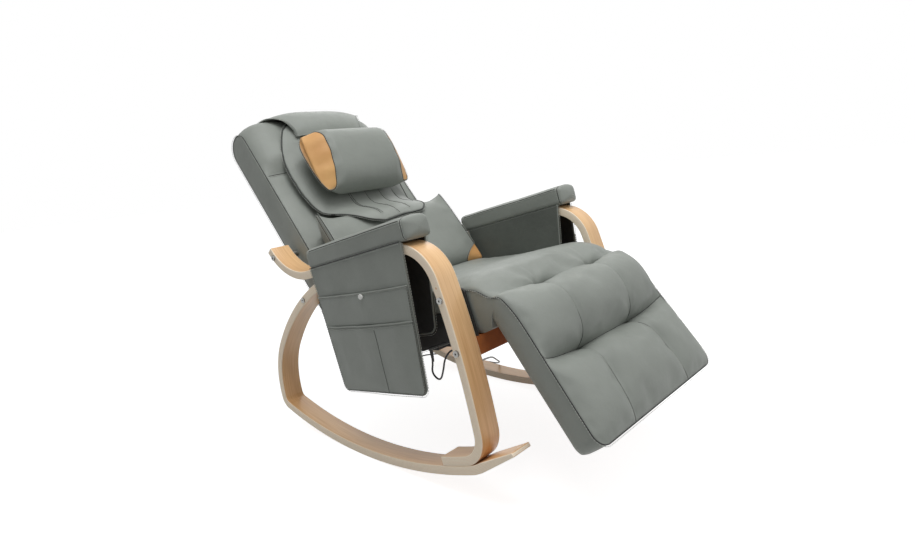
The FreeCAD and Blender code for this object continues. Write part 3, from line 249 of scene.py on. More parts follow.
def build(name: str, patches: Sequence[Patch], finishes: Sequence["Finish"], closed: bool = True) -> Piece:
    """One mesh object from grids, welded where they meet.

    Args:
        name: Name of the piece.
        patches: The grids; each names its finish by number.
        finishes: Materials in that order.
        closed: Whether the shell is closed, so that its faces can be turned outwards.

    Returns:
        The object, at the origin.
    """
    points, faces, places, numbers, first = [], [], [], [], 0
    for patch in patches:
        quads, place = patch.faces()
        points.append(patch.points.reshape(-1, 3))
        faces.append(quads + first)
        places.append(place.reshape(-1, 2))
        numbers.append(np.full(len(quads), patch.finish))
        first += points[-1].shape[0]
    mesh = bpy.data.meshes.new(name)
    mesh.from_pydata(np.concatenate(points).tolist(), [], np.concatenate(faces).tolist())
    layer = mesh.uv_layers.new(name="pattern")
    layer.data.foreach_set("uv", np.concatenate(places).astype(np.float32).ravel())
    mesh.polygons.foreach_set("material_index", np.concatenate(numbers).astype(np.int32))
    mesh.polygons.foreach_set("use_smooth", np.ones(len(mesh.polygons), bool))
    for finish in finishes:
        mesh.materials.append(finish.material())
    shell = bmesh.new()
    shell.from_mesh(mesh)
    bmesh.ops.remove_doubles(shell, verts=shell.verts, dist=WELD)
    bmesh.ops.dissolve_degenerate(shell, edges=shell.edges, dist=WELD / 2)
    if closed:
        bmesh.ops.recalc_face_normals(shell, faces=shell.faces)
    shell.to_mesh(mesh)
    shell.free()
    thing = bpy.data.objects.new(name, mesh)
    bpy.context.scene.collection.objects.link(thing)
    return thing


def unit(vectors: Array) -> Array:
    """Vectors scaled to length one."""
    return vectors / np.maximum(np.linalg.norm(vectors, axis=-1, keepdims=True), 1e-12)


def frames(path: Array, hint: Array, closed: bool) -> tuple[Array, Array, Array]:
    """Directions along a path: forward, the hint made square to it, and sideways.

    Args:
        path: Points (N, 3).
        hint: Direction or directions that never lie along the path.
        closed: Whether the last point joins the first.

    Returns:
        Three arrays of unit vectors (N, 3).
    """
    if closed:
        forward = unit(np.roll(path, -1, axis=0) - np.roll(path, 1, axis=0))
    else:
        forward = unit(np.gradient(path, axis=0))
    hint = np.broadcast_to(np.asarray(hint, float), path.shape)
    up = unit(hint - forward * np.sum(hint * forward, axis=-1, keepdims=True))
    return forward, up, np.cross(forward, up)


def rings(up: Array, aside: Array, count: int) -> Array:
    """Unit circles (N, count, 3): the turn's cosine times up, plus its sine times aside."""
    turn = around(count)[:, None]
    return up[:, None] * np.cos(turn) + aside[:, None] * np.sin(turn)


def tube(path: Array, radius: Real, hint: Array, closed: bool = False, sides: int = 8) -> list[Patch]:
    """Round tube carried along a path, with rounded ends when it is open.

    Args:
        path: Points (N, 3).
        radius: One radius or one per point.
        hint: Direction or directions that never lie along the path.
        closed: Whether the path closes.
        sides: Points of a ring.

    Returns:
        The tube as one grid.
    """
    forward, up, aside = frames(path, hint, closed)
    radius = np.broadcast_to(np.asarray(radius, float), path.shape[:1])
    points = path[:, None] + rings(up, aside, sides) * radius[:, None, None]
    if not closed:
        rise = np.array([[-CAP_RISE], [CAP_RISE]]) * radius[[0, -1], None]
        ends = path[[0, -1]] + forward[[0, -1]] * rise
        caps = [np.repeat(end[None, None], sides, axis=1) for end in ends]
        points = np.concatenate([caps[0], points, caps[1]])
    lengths = np.arange(points.shape[0] + closed) * PATTERN_STEP
    return [Patch(points, lengths, np.linspace(0.0, 1.0, sides + 1), closed, True)]


def domes(middle: Array, radius: float, shares: Array, x: Array, count: int) -> list[Patch]:
    """Round heads turned about the cross axis, one on each side of the chair.

    Args:
        middle: Their place in the side plane.
        radius: Their radius.
        shares: Radius of each ring as a share of it.
        x: Distance of each ring from the chair's middle plane.
        count: Points of a ring.

    Returns:
        Two grids.
    """
    disc = middle + radius * shares[:, None, None] * heading(np.degrees(around(count)))
    return [Patch(world(side * x[:, None], disc), loop_cols=True) for side in SIDES.values()]


@dataclass(frozen=True)
class Sewing:
    """A row of stitches: pitch, length, radius and lift of the thread, and the rings that shape each one."""

    pitch: float = 0.0062
    length: float = 0.0050
    radius: float = 0.0007
    lift: float = 0.0006
    sides: int = 5
    ring_places: Row = (-0.5, -0.38, 0.38, 0.5)
    ring_sizes: Row = (0.2, 1.0, 1.0, 0.2)

    def along(self, path: Array, hint: Array, offset: float = 0.0, finish: int = 0) -> list[Patch]:
        """Short capsules at equal distances along a path.

        Each is a few rings, at shares of the thread's length, with shares of its radius.

        Args:
            path: Points (N, 3).
            hint: Direction out of the cloth.
            offset: Sideways distance from the path.
            finish: Number of the finish.

        Returns:
            One grid per stitch.
        """
        forward, up, aside = frames(path, hint, False)
        run = run_of(path)
        spots = np.arange(self.pitch, run[-1], self.pitch)
        middle = spread(path + aside * offset + up * self.lift, run, spots)
        ahead, out = unit(spread(forward, run, spots)), unit(spread(up, run, spots))
        ring = rings(out, np.cross(ahead, out), self.sides)
        share = np.array(self.ring_places) * self.length
        size = np.array(self.ring_sizes) * self.radius
        grid = (middle[:, None, None] + ahead[:, None, None] * share[:, None, None]
                + ring[:, None] * size[:, None, None])
        return [Patch(thread, loop_cols=True, finish=finish) for thread in grid]


def spread(values: Array, run: Array, spots: Array) -> Array:
    """Values along a line, read at distances from its start; each column is interpolated."""
    return np.stack([np.interp(spots, run, column) for column in values.T], axis=-1)


# finishes

MIDDLE = (0.3, 0.7)
EVEN = (1.0, 1.0, 1.0)


class Nodes:
    """A node tree, with short calls to add and join nodes."""

    def __init__(self, tree: bpy.types.NodeTree) -> None:
        """Take over a tree."""
        self.tree = tree

    def add(self, kind: str, sockets: Optional[dict] = None, **settings) -> bpy.types.Node:
        """Add a node.

        Args:
            kind: Node type.
            sockets: Input name or number to a value, or to the output that feeds it.
            **settings: Properties of the node.

        Returns:
            The node.
        """
        node = self.tree.nodes.new(kind)
        for key, value in settings.items():
            setattr(node, key, value)
        self.feed(node, sockets or {})
        return node

    def feed(self, node: bpy.types.Node, sockets: dict) -> None:
        """Set or join inputs of a node."""
        for key, value in sockets.items():
            if isinstance(value, Socket):
                self.tree.links.new(value, node.inputs[key])
            else:
                node.inputs[key].default_value = value

    def maths(self, operation: str, first: Socket, second: Socket | float) -> Socket:
        """Two numbers joined by an operation."""
        return self.add("ShaderNodeMath", {0: first, 1: second}, operation=operation).outputs[0]

    def seen_by(self, *rays: str) -> Socket:
        """1 for rays of these kinds, 0 for all others."""
        kinds = self.add("ShaderNodeLightPath").outputs
        seen = kinds[rays[0]]
        for ray in rays[1:]:
            seen = self.maths("MAXIMUM", seen, kinds[ray])
        return seen


class Shader(Nodes):
    """Node tree of one material."""

    def __init__(self, name: str) -> None:
        """Start a material with its surface shader."""
        self.material = bpy.data.materials.new(name)
        self.material.use_nodes = True
        super().__init__(self.material.node_tree)
        self.surface = self.tree.nodes["Principled BSDF"]

    def noise(self, place: Socket, scale: float, detail: float = 3.0) -> Socket:
        """Noise over a place, from 0 to 1."""
        return self.add("ShaderNodeTexNoise", {"Vector": place, "Scale": scale, "Detail": detail}).outputs[0]

    def stretched(self, output: str, scale: Triple) -> Socket:
        """Object or UV coordinates, scaled apart along each axis."""
        place = self.add("ShaderNodeTexCoord").outputs[output]
        return self.add("ShaderNodeMapping", {"Vector": place, "Scale": scale}).outputs[0]

    def between(self, factor: Socket, low: Triple, high: Triple, span: Pair = MIDDLE) -> Socket:
        """Colour that goes from low to high as the factor goes over a span."""
        node = self.add("ShaderNodeValToRGB", {"Fac": factor})
        for element, place, colour in zip(node.color_ramp.elements, span, (low, high)):
            element.position, element.color = place, (*colour, 1.0)
        return node.outputs[0]

    def level(self, factor: Socket, low: float, high: float) -> Socket:
        """Number that goes from low to high as the factor goes over its middle span."""
        return self.add("ShaderNodeMapRange", {"Value": factor, "From Min": MIDDLE[0], "From Max": MIDDLE[1],
                                               "To Min": low, "To Max": high}).outputs[0]

    def mean(self, first: Socket, second: Socket) -> Socket:
        """Mean of two numbers."""
        return self.maths("MULTIPLY", self.maths("ADD", first, second), 0.5)

    def bump(self, height: Socket, distance: float, strength: float, over: Optional[Socket] = None) -> Socket:
        """Normal bent by a height, over another normal if given."""
        sockets = {"Height": height, "Distance": distance, "Strength": strength}
        if over is not None:
            sockets["Normal"] = over
        return self.add("ShaderNodeBump", sockets).outputs[0]


@dataclass(frozen=True)
class Finish:
    """A surface finish; each kind paints its own node tree, once.

    Class values are scales of its patterns, and depth and strength of its relief.
    """

    MOTTLE: ClassVar[float] = 60.0
    TOOTH: ClassVar[float] = 1400.0
    RELIEF: ClassVar[Pair] = (0.0002, 0.15)
    SPREAD: ClassVar[Pair] = (-0.05, 0.05)

    name: str
    colour: Triple
    shade: Triple
    roughness: float = 0.5

    def material(self) -> bpy.types.Material:
        """The material, made at its first use."""
        name = f"{self.name}_finish"
        known = bpy.data.materials.get(name)
        if known is not None:
            return known
        shader = Shader(name)
        self.paint(shader)
        return shader.material

    def gloss(self, shader: Shader, factor: Socket) -> Socket:
        """Roughness that varies with a factor, by the spread below and above its mean."""
        return shader.level(factor, *(self.roughness + part for part in self.SPREAD))

    def paint(self, shader: Shader) -> None:
        """Fill the node tree: even colour with a faint mottle and a fine tooth."""
        place = shader.stretched("Object", EVEN)
        mottle = shader.noise(place, self.MOTTLE)
        shader.feed(shader.surface, {
            "Base Color": shader.between(mottle, self.shade, self.colour),
            "Roughness": self.gloss(shader, mottle),
            "Normal": shader.bump(shader.noise(place, self.TOOTH, 1.0), *self.RELIEF)})


@dataclass(frozen=True)
class GrainedLeather(Finish):
    """Coated upholstery: pebble grain of about a millimetre, soft creases and a low satin gloss."""

    PEBBLE: ClassVar[float] = 760.0
    FOLDS: ClassVar[Pair] = (34.0, 4.0)
    WEAR: ClassVar[Pair] = (7.0, 5.0)
    WEAR_SPAN: ClassVar[Pair] = (0.25, 0.65)
    CREASE: ClassVar[Pair] = (0.004, 0.35)
    RELIEF: ClassVar[Pair] = (0.0005, 0.3)
    SPREAD: ClassVar[Pair] = (-0.06, 0.08)
    SHEEN: ClassVar[float] = 0.30

    def paint(self, shader: Shader) -> None:
        """Cells give the pebbles, two noises the creases and the uneven colour."""
        place = shader.stretched("Object", EVEN)
        cells = shader.add("ShaderNodeTexVoronoi", {"Vector": place, "Scale": self.PEBBLE})
        folds, wear = shader.noise(place, *self.FOLDS), shader.noise(place, *self.WEAR)
        creased = shader.bump(folds, *self.CREASE)
        shader.feed(shader.surface, {
            "Base Color": shader.between(wear, self.shade, self.colour, self.WEAR_SPAN),
            "Roughness": self.gloss(shader, folds),
            "Normal": shader.bump(cells.outputs["Distance"], *self.RELIEF, creased),
            "Specular IOR Level": self.SHEEN})


@dataclass(frozen=True)
class BentVeneer(Finish):
    """Face veneer of the bentwood: grain that runs along the strip under a thin lacquer."""

    GRAIN: ClassVar[Triple] = (7.0, 260.0, 1.0)
    FIGURE: ClassVar[Triple] = (2.5, 22.0, 1.0)
    FIGURE_SPAN: ClassVar[Pair] = (0.36, 0.62)
    RELIEF: ClassVar[Pair] = (0.0003, 0.18)
    SPREAD: ClassVar[Pair] = (-0.06, 0.06)
    LACQUER: ClassVar[Pair] = (0.25, 0.3)

    def paint(self, shader: Shader) -> None:
        """The pattern map gives the run along the strip and the place across it, stretched into grain."""
        grain = shader.noise(shader.stretched("UV", self.GRAIN), 1.0, 6.0)
        figure = shader.noise(shader.stretched("UV", self.FIGURE), 1.0, 3.0)
        tone = shader.mean(grain, figure)
        shader.feed(shader.surface, {
            "Base Color": shader.between(tone, self.shade, self.colour, self.FIGURE_SPAN),
            "Roughness": self.gloss(shader, grain),
            "Normal": shader.bump(grain, *self.RELIEF),
            "Coat Weight": self.LACQUER[0], "Coat Roughness": self.LACQUER[1]})


@dataclass(frozen=True)
class PlyEdge(Finish):
    """Cut edge of the bentwood: thin plies, pale and darker in turn, with open end grain."""

    PLY: ClassVar[float] = 0.0031
    BAND_UNIT: ClassVar[float] = 20.0
    PORES: ClassVar[Triple] = (220.0, 900.0, 1.0)
    BAND_SPAN: ClassVar[Pair] = (0.3, 0.55)
    RELIEF: ClassVar[Pair] = (0.0003, 0.25)
    SPREAD: ClassVar[Pair] = (-0.05, 0.1)

    def paint(self, shader: Shader) -> None:
        """Bands across the pattern's second axis, one light and one dark ply in each period."""
        place = shader.stretched("UV", (0.0, 1.0, 1.0))
        scale = 2 * np.pi / (self.BAND_UNIT * self.PLY)
        bands = shader.add("ShaderNodeTexWave", {"Vector": place, "Scale": scale},
                           wave_type="BANDS", bands_direction="Y").outputs["Fac"]
        pores = shader.noise(shader.stretched("UV", self.PORES), 1.0, 2.0)
        cut = shader.mean(bands, pores)
        shader.feed(shader.surface, {
            "Base Color": shader.between(cut, self.shade, self.colour, self.BAND_SPAN),
            "Roughness": self.gloss(shader, pores),
            "Normal": shader.bump(cut, *self.RELIEF)})


@dataclass(frozen=True)
class Metal(Finish):
    """Plated, turned or coated steel: fine brush marks, and metallic when bright."""

    MARKS: ClassVar[Triple] = (90.0, 2600.0, 2600.0)
    STAIN: ClassVar[Triple] = (40.0, 40.0, 40.0)
    RELIEF: ClassVar[Pair] = (0.0001, 0.2)
    SPREAD: ClassVar[Pair] = (-0.06, 0.06)

    metallic: float = 1.0

    def paint(self, shader: Shader) -> None:
        """Long fine noise for the brush marks and a broad one for stains."""
        marks = shader.noise(shader.stretched("Object", self.MARKS), 1.0, 2.0)
        stain = shader.noise(shader.stretched("Object", self.STAIN), 1.0)
        shader.feed(shader.surface, {
            "Base Color": shader.between(stain, self.shade, self.colour), "Metallic": self.metallic,
            "Roughness": self.gloss(shader, marks),
            "Normal": shader.bump(marks, *self.RELIEF)})


@dataclass(frozen=True)
class StudioFloor(Finish):
    """Pale floor that takes the chair's shadow and glows for the camera and for reflections only."""

    GLOW: ClassVar[float] = 0.86

    def paint(self, shader: Shader) -> None:
        """The plain finish, plus light that only those rays see."""
        super().paint(shader)
        level = shader.maths("MULTIPLY", shader.seen_by("Is Camera Ray", "Is Glossy Ray"), self.GLOW)
        glow = shader.add("ShaderNodeEmission", {"Strength": level}).outputs[0]
        both = shader.add("ShaderNodeAddShader", {0: shader.surface.outputs[0], 1: glow}).outputs[0]
        shader.feed(shader.tree.nodes["Material Output"], {"Surface": both})


class Palette(Enum):
    """The chair's finishes."""

    GREY = GrainedLeather("grey_leather", (0.270, 0.289, 0.264), (0.227, 0.244, 0.222), 0.48)
    TAN = GrainedLeather("tan_leather", (0.69, 0.400, 0.160), (0.53, 0.265, 0.095), 0.44)
    # Inner panels: the grey leather at about half its brightness, as painted shade for panels that lie in
    # shade.
    INNER = GrainedLeather("inner_leather_painted_shade", (0.130, 0.142, 0.126), (0.098, 0.107, 0.096), 0.5)
    LINING = GrainedLeather("dark_lining", (0.030, 0.030, 0.028), (0.018, 0.018, 0.017), 0.6)
    # Near-black cord of the back, pillow and flap seams: painted shade along their creases and bound edges;
    # it also makes the skirt's dark hem.
    PIPING = GrainedLeather("dark_piping_and_seam_shade", (0.050, 0.055, 0.050), (0.030, 0.033, 0.031), 0.5)
    VENEER = BentVeneer("bent_veneer", (0.84, 0.545, 0.280), (0.66, 0.375, 0.165), 0.38)
    PLY = PlyEdge("ply_edge", (0.99, 0.88, 0.71), (0.90, 0.72, 0.53), 0.55)
    RAIL = Finish("rail_wood", (0.44, 0.135, 0.030), (0.34, 0.100, 0.021), 0.45)
    BOLT = Metal("bolt_steel", (0.36, 0.36, 0.35), (0.27, 0.27, 0.26), 0.34)
    MOTOR = Metal("motor_steel", (0.55, 0.55, 0.54), (0.42, 0.42, 0.41), 0.35)
    COATED = Metal("black_steel", (0.022, 0.022, 0.022), (0.014, 0.014, 0.014), 0.5, 0.0)
    WHITE = Finish("white_plastic", (0.88, 0.88, 0.85), (0.82, 0.82, 0.79), 0.4)
    BLACK = Finish("black_plastic", (0.020, 0.020, 0.021), (0.012, 0.012, 0.012), 0.42)
    THREAD = Finish("pale_thread", (0.44, 0.46, 0.42), (0.34, 0.36, 0.33), 0.7)
    # Near-black thread for dark stitch rows; as a seam's cord it is painted shade, the shadow along the
    # crease.
    DARK_THREAD_AND_SEAM_SHADE = Finish("dark_thread_and_seam_shade", (0.020, 0.021, 0.020), (0.012, 0.012, 0.012), 0.7)
    CORD = Finish("cord_jacket", (0.018, 0.018, 0.018), (0.010, 0.010, 0.010), 0.45)
    FLOOR = StudioFloor("floor", (0.50, 0.50, 0.50), (0.49, 0.49, 0.49), 0.9)


GREY, TAN, LINING = Palette.GREY.value, Palette.TAN.value, Palette.LINING.value
PIPING, THREAD, DARK = Palette.PIPING.value, Palette.THREAD.value, Palette.DARK_THREAD_AND_SEAM_SHADE.value


def settle(thing: Piece, body: str = "chair", stands_for: Sequence[str] = ()) -> Piece:
    """Give a finished piece its body and the nodes it stands for.

    Args:
        thing: The piece.
        body: Body that carries it; none for a piece left unattached.
        stands_for: Nodes that it replaces.

    Returns:
        The piece.
    """
    if body:
        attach(thing, body)
    if stands_for:
        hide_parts(*stands_for)
    faces = len(getattr(thing.data, "polygons", ()))
    LOG.info("%s: %d faces on %s", thing.name, faces, body or "two bodies")
    return thing


@dataclass(frozen=True)
class Stitching:
    """How a seam is sewn: radius of its cord, sideways place of each row of stitches, and their finishes; a
    dark cord is painted shade.
    """

    cord: float
    rows: Row = ()
    # the default near-black cord is painted shade: the shadow along the seam's crease
    piping: Finish = DARK
    thread: Finish = THREAD


class Sewn(Enum):
    """The chair's seams."""

    # A dark cord, from either dark finish, is painted shade: the shadow along the seam's crease, and beside
    # the welt of piped edges.
    SEAT_PIPING = Stitching(0.0012, (0.0040, -0.0040))
    CROSS_SEAM = Stitching(0.0009)
    TUFT_SEAM = Stitching(0.0008)
    PLAIN_SEAM = Stitching(0.0010, (0.0036,))
    BACK_PIPING = Stitching(0.0012, (0.0040, -0.0040), PIPING)
    PILLOW_SEAM = Stitching(0.0011, (0.0036, -0.0036), PIPING)
    FLAP_BINDING = Stitching(0.0022, (0.0050,), PIPING)
    STRAP_EDGE = Stitching(0.0014, (0.0045, -0.0045), GREY)
    NOSE_SEAM = Stitching(0.0010, (0.0034, -0.0034))
    BAND_SEAM = Stitching(0.0012, (0.004,))
    PANEL_BINDING = Stitching(0.0023, (0.006, -0.006), GREY)
    POCKET_HEM = Stitching(0.0022, (), GREY)
    DIVIDER = Stitching(0.0005)
    SKIRT_HEM = Stitching(0.0016, (0.004,), PIPING)
    PALE_ROW = Stitching(0.0, (0.0,))
    DARK_ROW = Stitching(0.0, (0.0,), thread=DARK)


def seam(name: str, path: Array, hint: Array, sewn: Sewn, body: str = "chair", closed: bool = False) -> Piece:
    """Sewn seam: a cord in the crease, dark ones painted shade, and rows of stitches beside it.

    Args:
        name: Name of the piece.
        path: Points along the seam.
        hint: Direction out of the cloth.
        sewn: Kind of seam.
        body: Body that carries it; none for a seam left unattached.
        closed: Whether the seam closes.

    Returns:
        The piece.
    """
    kind = sewn.value
    patches = tube(path, kind.cord, hint, closed) if kind.cord else []
    for offset in kind.rows:
        patches += Sewing().along(path, hint, offset, 1)
    return settle(build(name, patches, [kind.piping, kind.thread]), body)


def cushion(name: str, patches: Sequence[Patch], stands_for: Sequence[str], body: str = "chair",
            finishes: Sequence[Finish] = (GREY,)) -> Piece:
    """A stuffed piece, settled.

    Args:
        name: Name of the piece.
        patches: Its grids.
        stands_for: Nodes that it replaces.
        body: Body that carries it; none for a piece left unattached.
        finishes: Materials of the grids.

    Returns:
        The piece.
    """
    thing = settle(build(name, patches, finishes), body, stands_for)
    return thing


def sharpen(thing: Piece, angle: float) -> None:
    """Keep edges sharp where faces meet at more than an angle in degrees."""
    thing.data.set_sharp_from_angle(angle=np.radians(angle))


# bentwood side frames

class Stretch(IntEnum):
    """Stretches of the arm bow's outer edge, in order."""

    FOOT = 0
    FOOT_BEND = 1
    LEG = 2
    FRONT_BEND = 3
    ARM = 4
    CURL = 5


@dataclass(frozen=True)
class Bentwood:
    """Side frames: the arm bow and the rocker, each a strip of bent plywood."""

    inner: float = 0.270
    outer: float = 0.330
    thickness: float = 0.022
    rocker_radius: float = 1.2575
    rocker_rear: float = 15.9
    rocker_front: float = 19.2
    heel: Pair = (0.040, 63.5)
    riser_low: Pair = (0.237, 46.0)
    riser_high: float = 0.620
    lap: float = 0.120
    flick: Pair = (0.150, 16.3)
    tip: float = 0.107
    tip_thickness: float = 0.0095
    foot_end: float = 0.325
    foot: float = 0.082
    foot_bend: float = 0.075
    leg_lean: float = 98.7
    leg: Pair = (0.346, 10.8)
    front_bend: float = 0.112
    arm_slope: float = 12.9
    arm: float = 0.381
    curl: Pair = (0.171, 62.2)
    tip_bolt: float = 9.0
    leg_plug: float = 0.332
    plug_radius: float = 0.0026
    plug_rings: Row = (0.0, 0.6, 0.9, 1.0)
    plug_dome: float = 0.0008
    plug_round: float = 0.9
    plug_sink: float = 0.0003
    plug_points: int = 16
    edge_round: float = 0.0022
    corner_points: int = 5
    crisp_angle: float = 40.0
    end_ease: float = 0.0012
    step: float = 0.007

    def bow_edges(self) -> list[Bend]:
        """Outer edge of the arm bow: foot, foot bend, leg, front bend, arm and curl."""
        top = self.rocker_radius - self.thickness
        start = np.degrees(np.arcsin(self.foot_end / top))
        foot = np.degrees(self.foot / top)
        toe = np.array([0.0, self.rocker_radius]) + heading(start - 90.0) * top
        length, turn = self.leg
        return chain(toe, start, [
            bow(top, foot), bow(self.foot_bend, self.leg_lean - start - foot), (length, turn),
            bow(self.front_bend, 180.0 + self.arm_slope - self.leg_lean - turn), (self.arm, 0.0),
            bow(self.curl[0], -self.curl[1])])

    def rocker_edges(self) -> tuple[list[Bend], list[Bend]]:
        """Outer edges of the rocker from the floor line: back to the lap, and ahead to the tip.

        The straight part of the riser is as long as it takes for the lap to meet the arm's underside.

        Returns:
            The rear and the front stretches.
        """
        rest = 180.0 - self.rocker_rear - self.heel[1] - self.riser_low[1]
        pieces = [bow(self.rocker_radius, -self.rocker_rear), bow(self.heel[0], -self.heel[1]),
                  bow(self.riser_low[0], -self.riser_low[1]),
                  bow(self.riser_high, self.arm_slope - rest), (self.lap, 0.0)]
        under = self.bow_edges()[Stretch.ARM].at(0.0, self.thickness)
        short = (under - chain((0.0, 0.0), 180.0, pieces)[-1].at(1.0)) @ heading(self.arm_slope + 90.0)
        straight = short / np.sin(np.radians(rest - self.arm_slope))
        pieces.insert(-2, (straight, 0.0))
        ahead = [bow(self.rocker_radius, self.rocker_front), bow(*self.flick), (self.tip, 0.0)]
        return chain((0.0, 0.0), 180.0, pieces), chain((0.0, 0.0), 0.0, ahead)

    def strip(self, name: str, side: float, edge: Array, inward: Array, thick: Array) -> Piece:
        """Strip of plywood along an edge line, with eased edges and ends.

        The section is a rectangle with quarter-round corners; the two cut edges carry the distance through
        the thickness as their pattern, the two faces the distance across.

        Args:
            name: Name of the node that it stands for.
            side: 1 for the left side, -1 for the right.
            edge: Outer edge line (N, 2).
            inward: Unit normals from that line into the wood (N, 2).
            thick: Thickness at each point (N).

        Returns:
            The piece.
        """
        run, half, bend = run_of(edge), (self.outer - self.inner) / 2, self.edge_round
        ease = np.zeros_like(run)
        ease[[0, -1]] = self.end_ease
        corner = np.radians(np.linspace(-90.0, 0.0, self.corner_points))
        across = half - bend + bend * np.cos(np.concatenate([corner, corner[::-1]]))
        depth = np.concatenate([bend + bend * np.sin(corner), -bend - bend * np.sin(corner[::-1])])
        upper = np.arange(len(depth)) >= len(corner)
        through = depth + upper * thick[:, None]
        through = through + ease[:, None] * np.sign(thick[:, None] / 2 - through)
        plies = depth + upper * self.thickness

        def grid(x: Array, t: Array) -> Array:
            """Points at distances across from the strip's middle, and through its thickness."""
            flat = edge[:, None] + inward[:, None] * t[..., None]
            return world(side * ((self.inner + self.outer) / 2 + x), flat)

        wide = np.broadcast_to(across, through.shape) - ease[:, None]
        cheek, heel = grid(wide, through), grid(-wide, through)
        patches = [Patch(flank, run, plies, finish=1) for flank in (cheek, heel)]
        for column in (0, -1):
            face = np.stack([cheek[:, column], heel[:, column]], axis=1)
            patches.append(Patch(face, run, np.array([half, -half])))
        for row in (0, -1):
            cap = np.stack([cheek[row], heel[row]])
            patches.append(Patch(cap, np.array([half, -half]), plies, finish=1))
        thing = build(name + "_strip", patches, [Palette.VENEER.value, Palette.PLY.value])
        sharpen(thing, self.crisp_angle)
        return settle(thing, stands_for=[name])

    def eased(self, line: tuple[Array, Array]) -> tuple[Array, Array]:
        """A sampled line with one more point close to each end, where the wood is eased."""
        points, normals = line
        lead = points[0] + unit(points[1] - points[0]) * self.end_ease
        tail = points[-1] + unit(points[-2] - points[-1]) * self.end_ease
        return (np.concatenate([points[:1], [lead], points[1:-1], [tail], points[-1:]]),
                np.concatenate([normals[:1], normals[:1], normals[1:-1], normals[-1:], normals[-1:]]))

    def dress(self) -> None:
        """Make the four strips and the wooden plugs in the legs."""
        edge, left = self.eased(sample(self.bow_edges(), self.step))
        rear, ahead = self.rocker_edges()
        front_points, front_left = sample(ahead, self.step)
        rear_points, rear_left = sample(rear, self.step)
        rocker, inward = self.eased((np.concatenate([front_points[:0:-1], rear_points]),
                                     np.concatenate([front_left[:0:-1], -rear_left])))
        thick = np.interp(run_of(rocker), [0.0, self.tip], [self.tip_thickness, self.thickness])
        for name, side in SIDES.items():
            self.strip(name + "_arm_bow", side, edge, left, np.full(len(edge), self.thickness))
            self.strip(name + "_rocker", side, rocker, inward, thick)
        spot = self.bow_edges()[Stretch.LEG].at(self.leg_plug / self.leg[0], self.thickness / 2)
        shares = np.array(self.plug_rings)
        dome = self.outer + self.plug_dome * np.sqrt(1.0 - self.plug_round * shares ** 2) - self.plug_sink
        heads = build("leg_plug_heads", domes(spot, self.plug_radius, shares, dome, self.plug_points),
                      [Palette.VENEER.value])
        settle(heads, stands_for=["leg_plugs"])


WOOD = Bentwood()
BOW = WOOD.bow_edges()
TIP_BOLT = BOW[Stretch.CURL].at(1.0 - WOOD.tip_bolt / WOOD.curl[1], WOOD.thickness / 2)
ARM = Slope(tuple(BOW[Stretch.ARM].at(0.0)), WOOD.arm_slope)


def knee_point() -> Pair:
    """Side-plane place of the knee hinge: the middle of its pins."""
    low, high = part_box("knee_pins")
    return -(low.y + high.y) / 2, (low.z + high.z) / 2


KNEE = knee_point()
SEAT = Slope(KNEE, way=8.0)
LEGREST = Slope(KNEE, way=-52.0)
BACK = Slope(tuple(TIP_BOLT), way=-51.0)
BACK_FACE = 0.051


def on_back(up: Real, out: Real) -> Array:
    """Side-plane points at distances up the back and out of it."""
    return BACK.at(-np.asarray(up, float), out)


def back_way(pairs: Array) -> Array:
    """Directions in the chair's frame from directions (up, out) of the back."""
    return world(0.0, on_back(pairs[:, 0], pairs[:, 1]) - np.asarray(BACK.origin))


WAVES = ((1.0, 31.0, 17.0, 1.0), (0.7, -23.0, 41.0, 2.1), (0.5, 67.0, 11.0, 3.7))


def ripple(a: Array, b: Array, size: float, seed: float) -> Array:
    """Small uneven waves over two coordinates: the mean of three sines that cross at angles."""
    total = sum(part * np.sin(far * a + wide * b + shift * seed) for part, far, wide, shift in WAVES)
    return size * total / sum(wave[0] for wave in WAVES)


# seat and leg rest

TUFT_SHARE = 1.0 / 3.0
NEAR = 1e-6


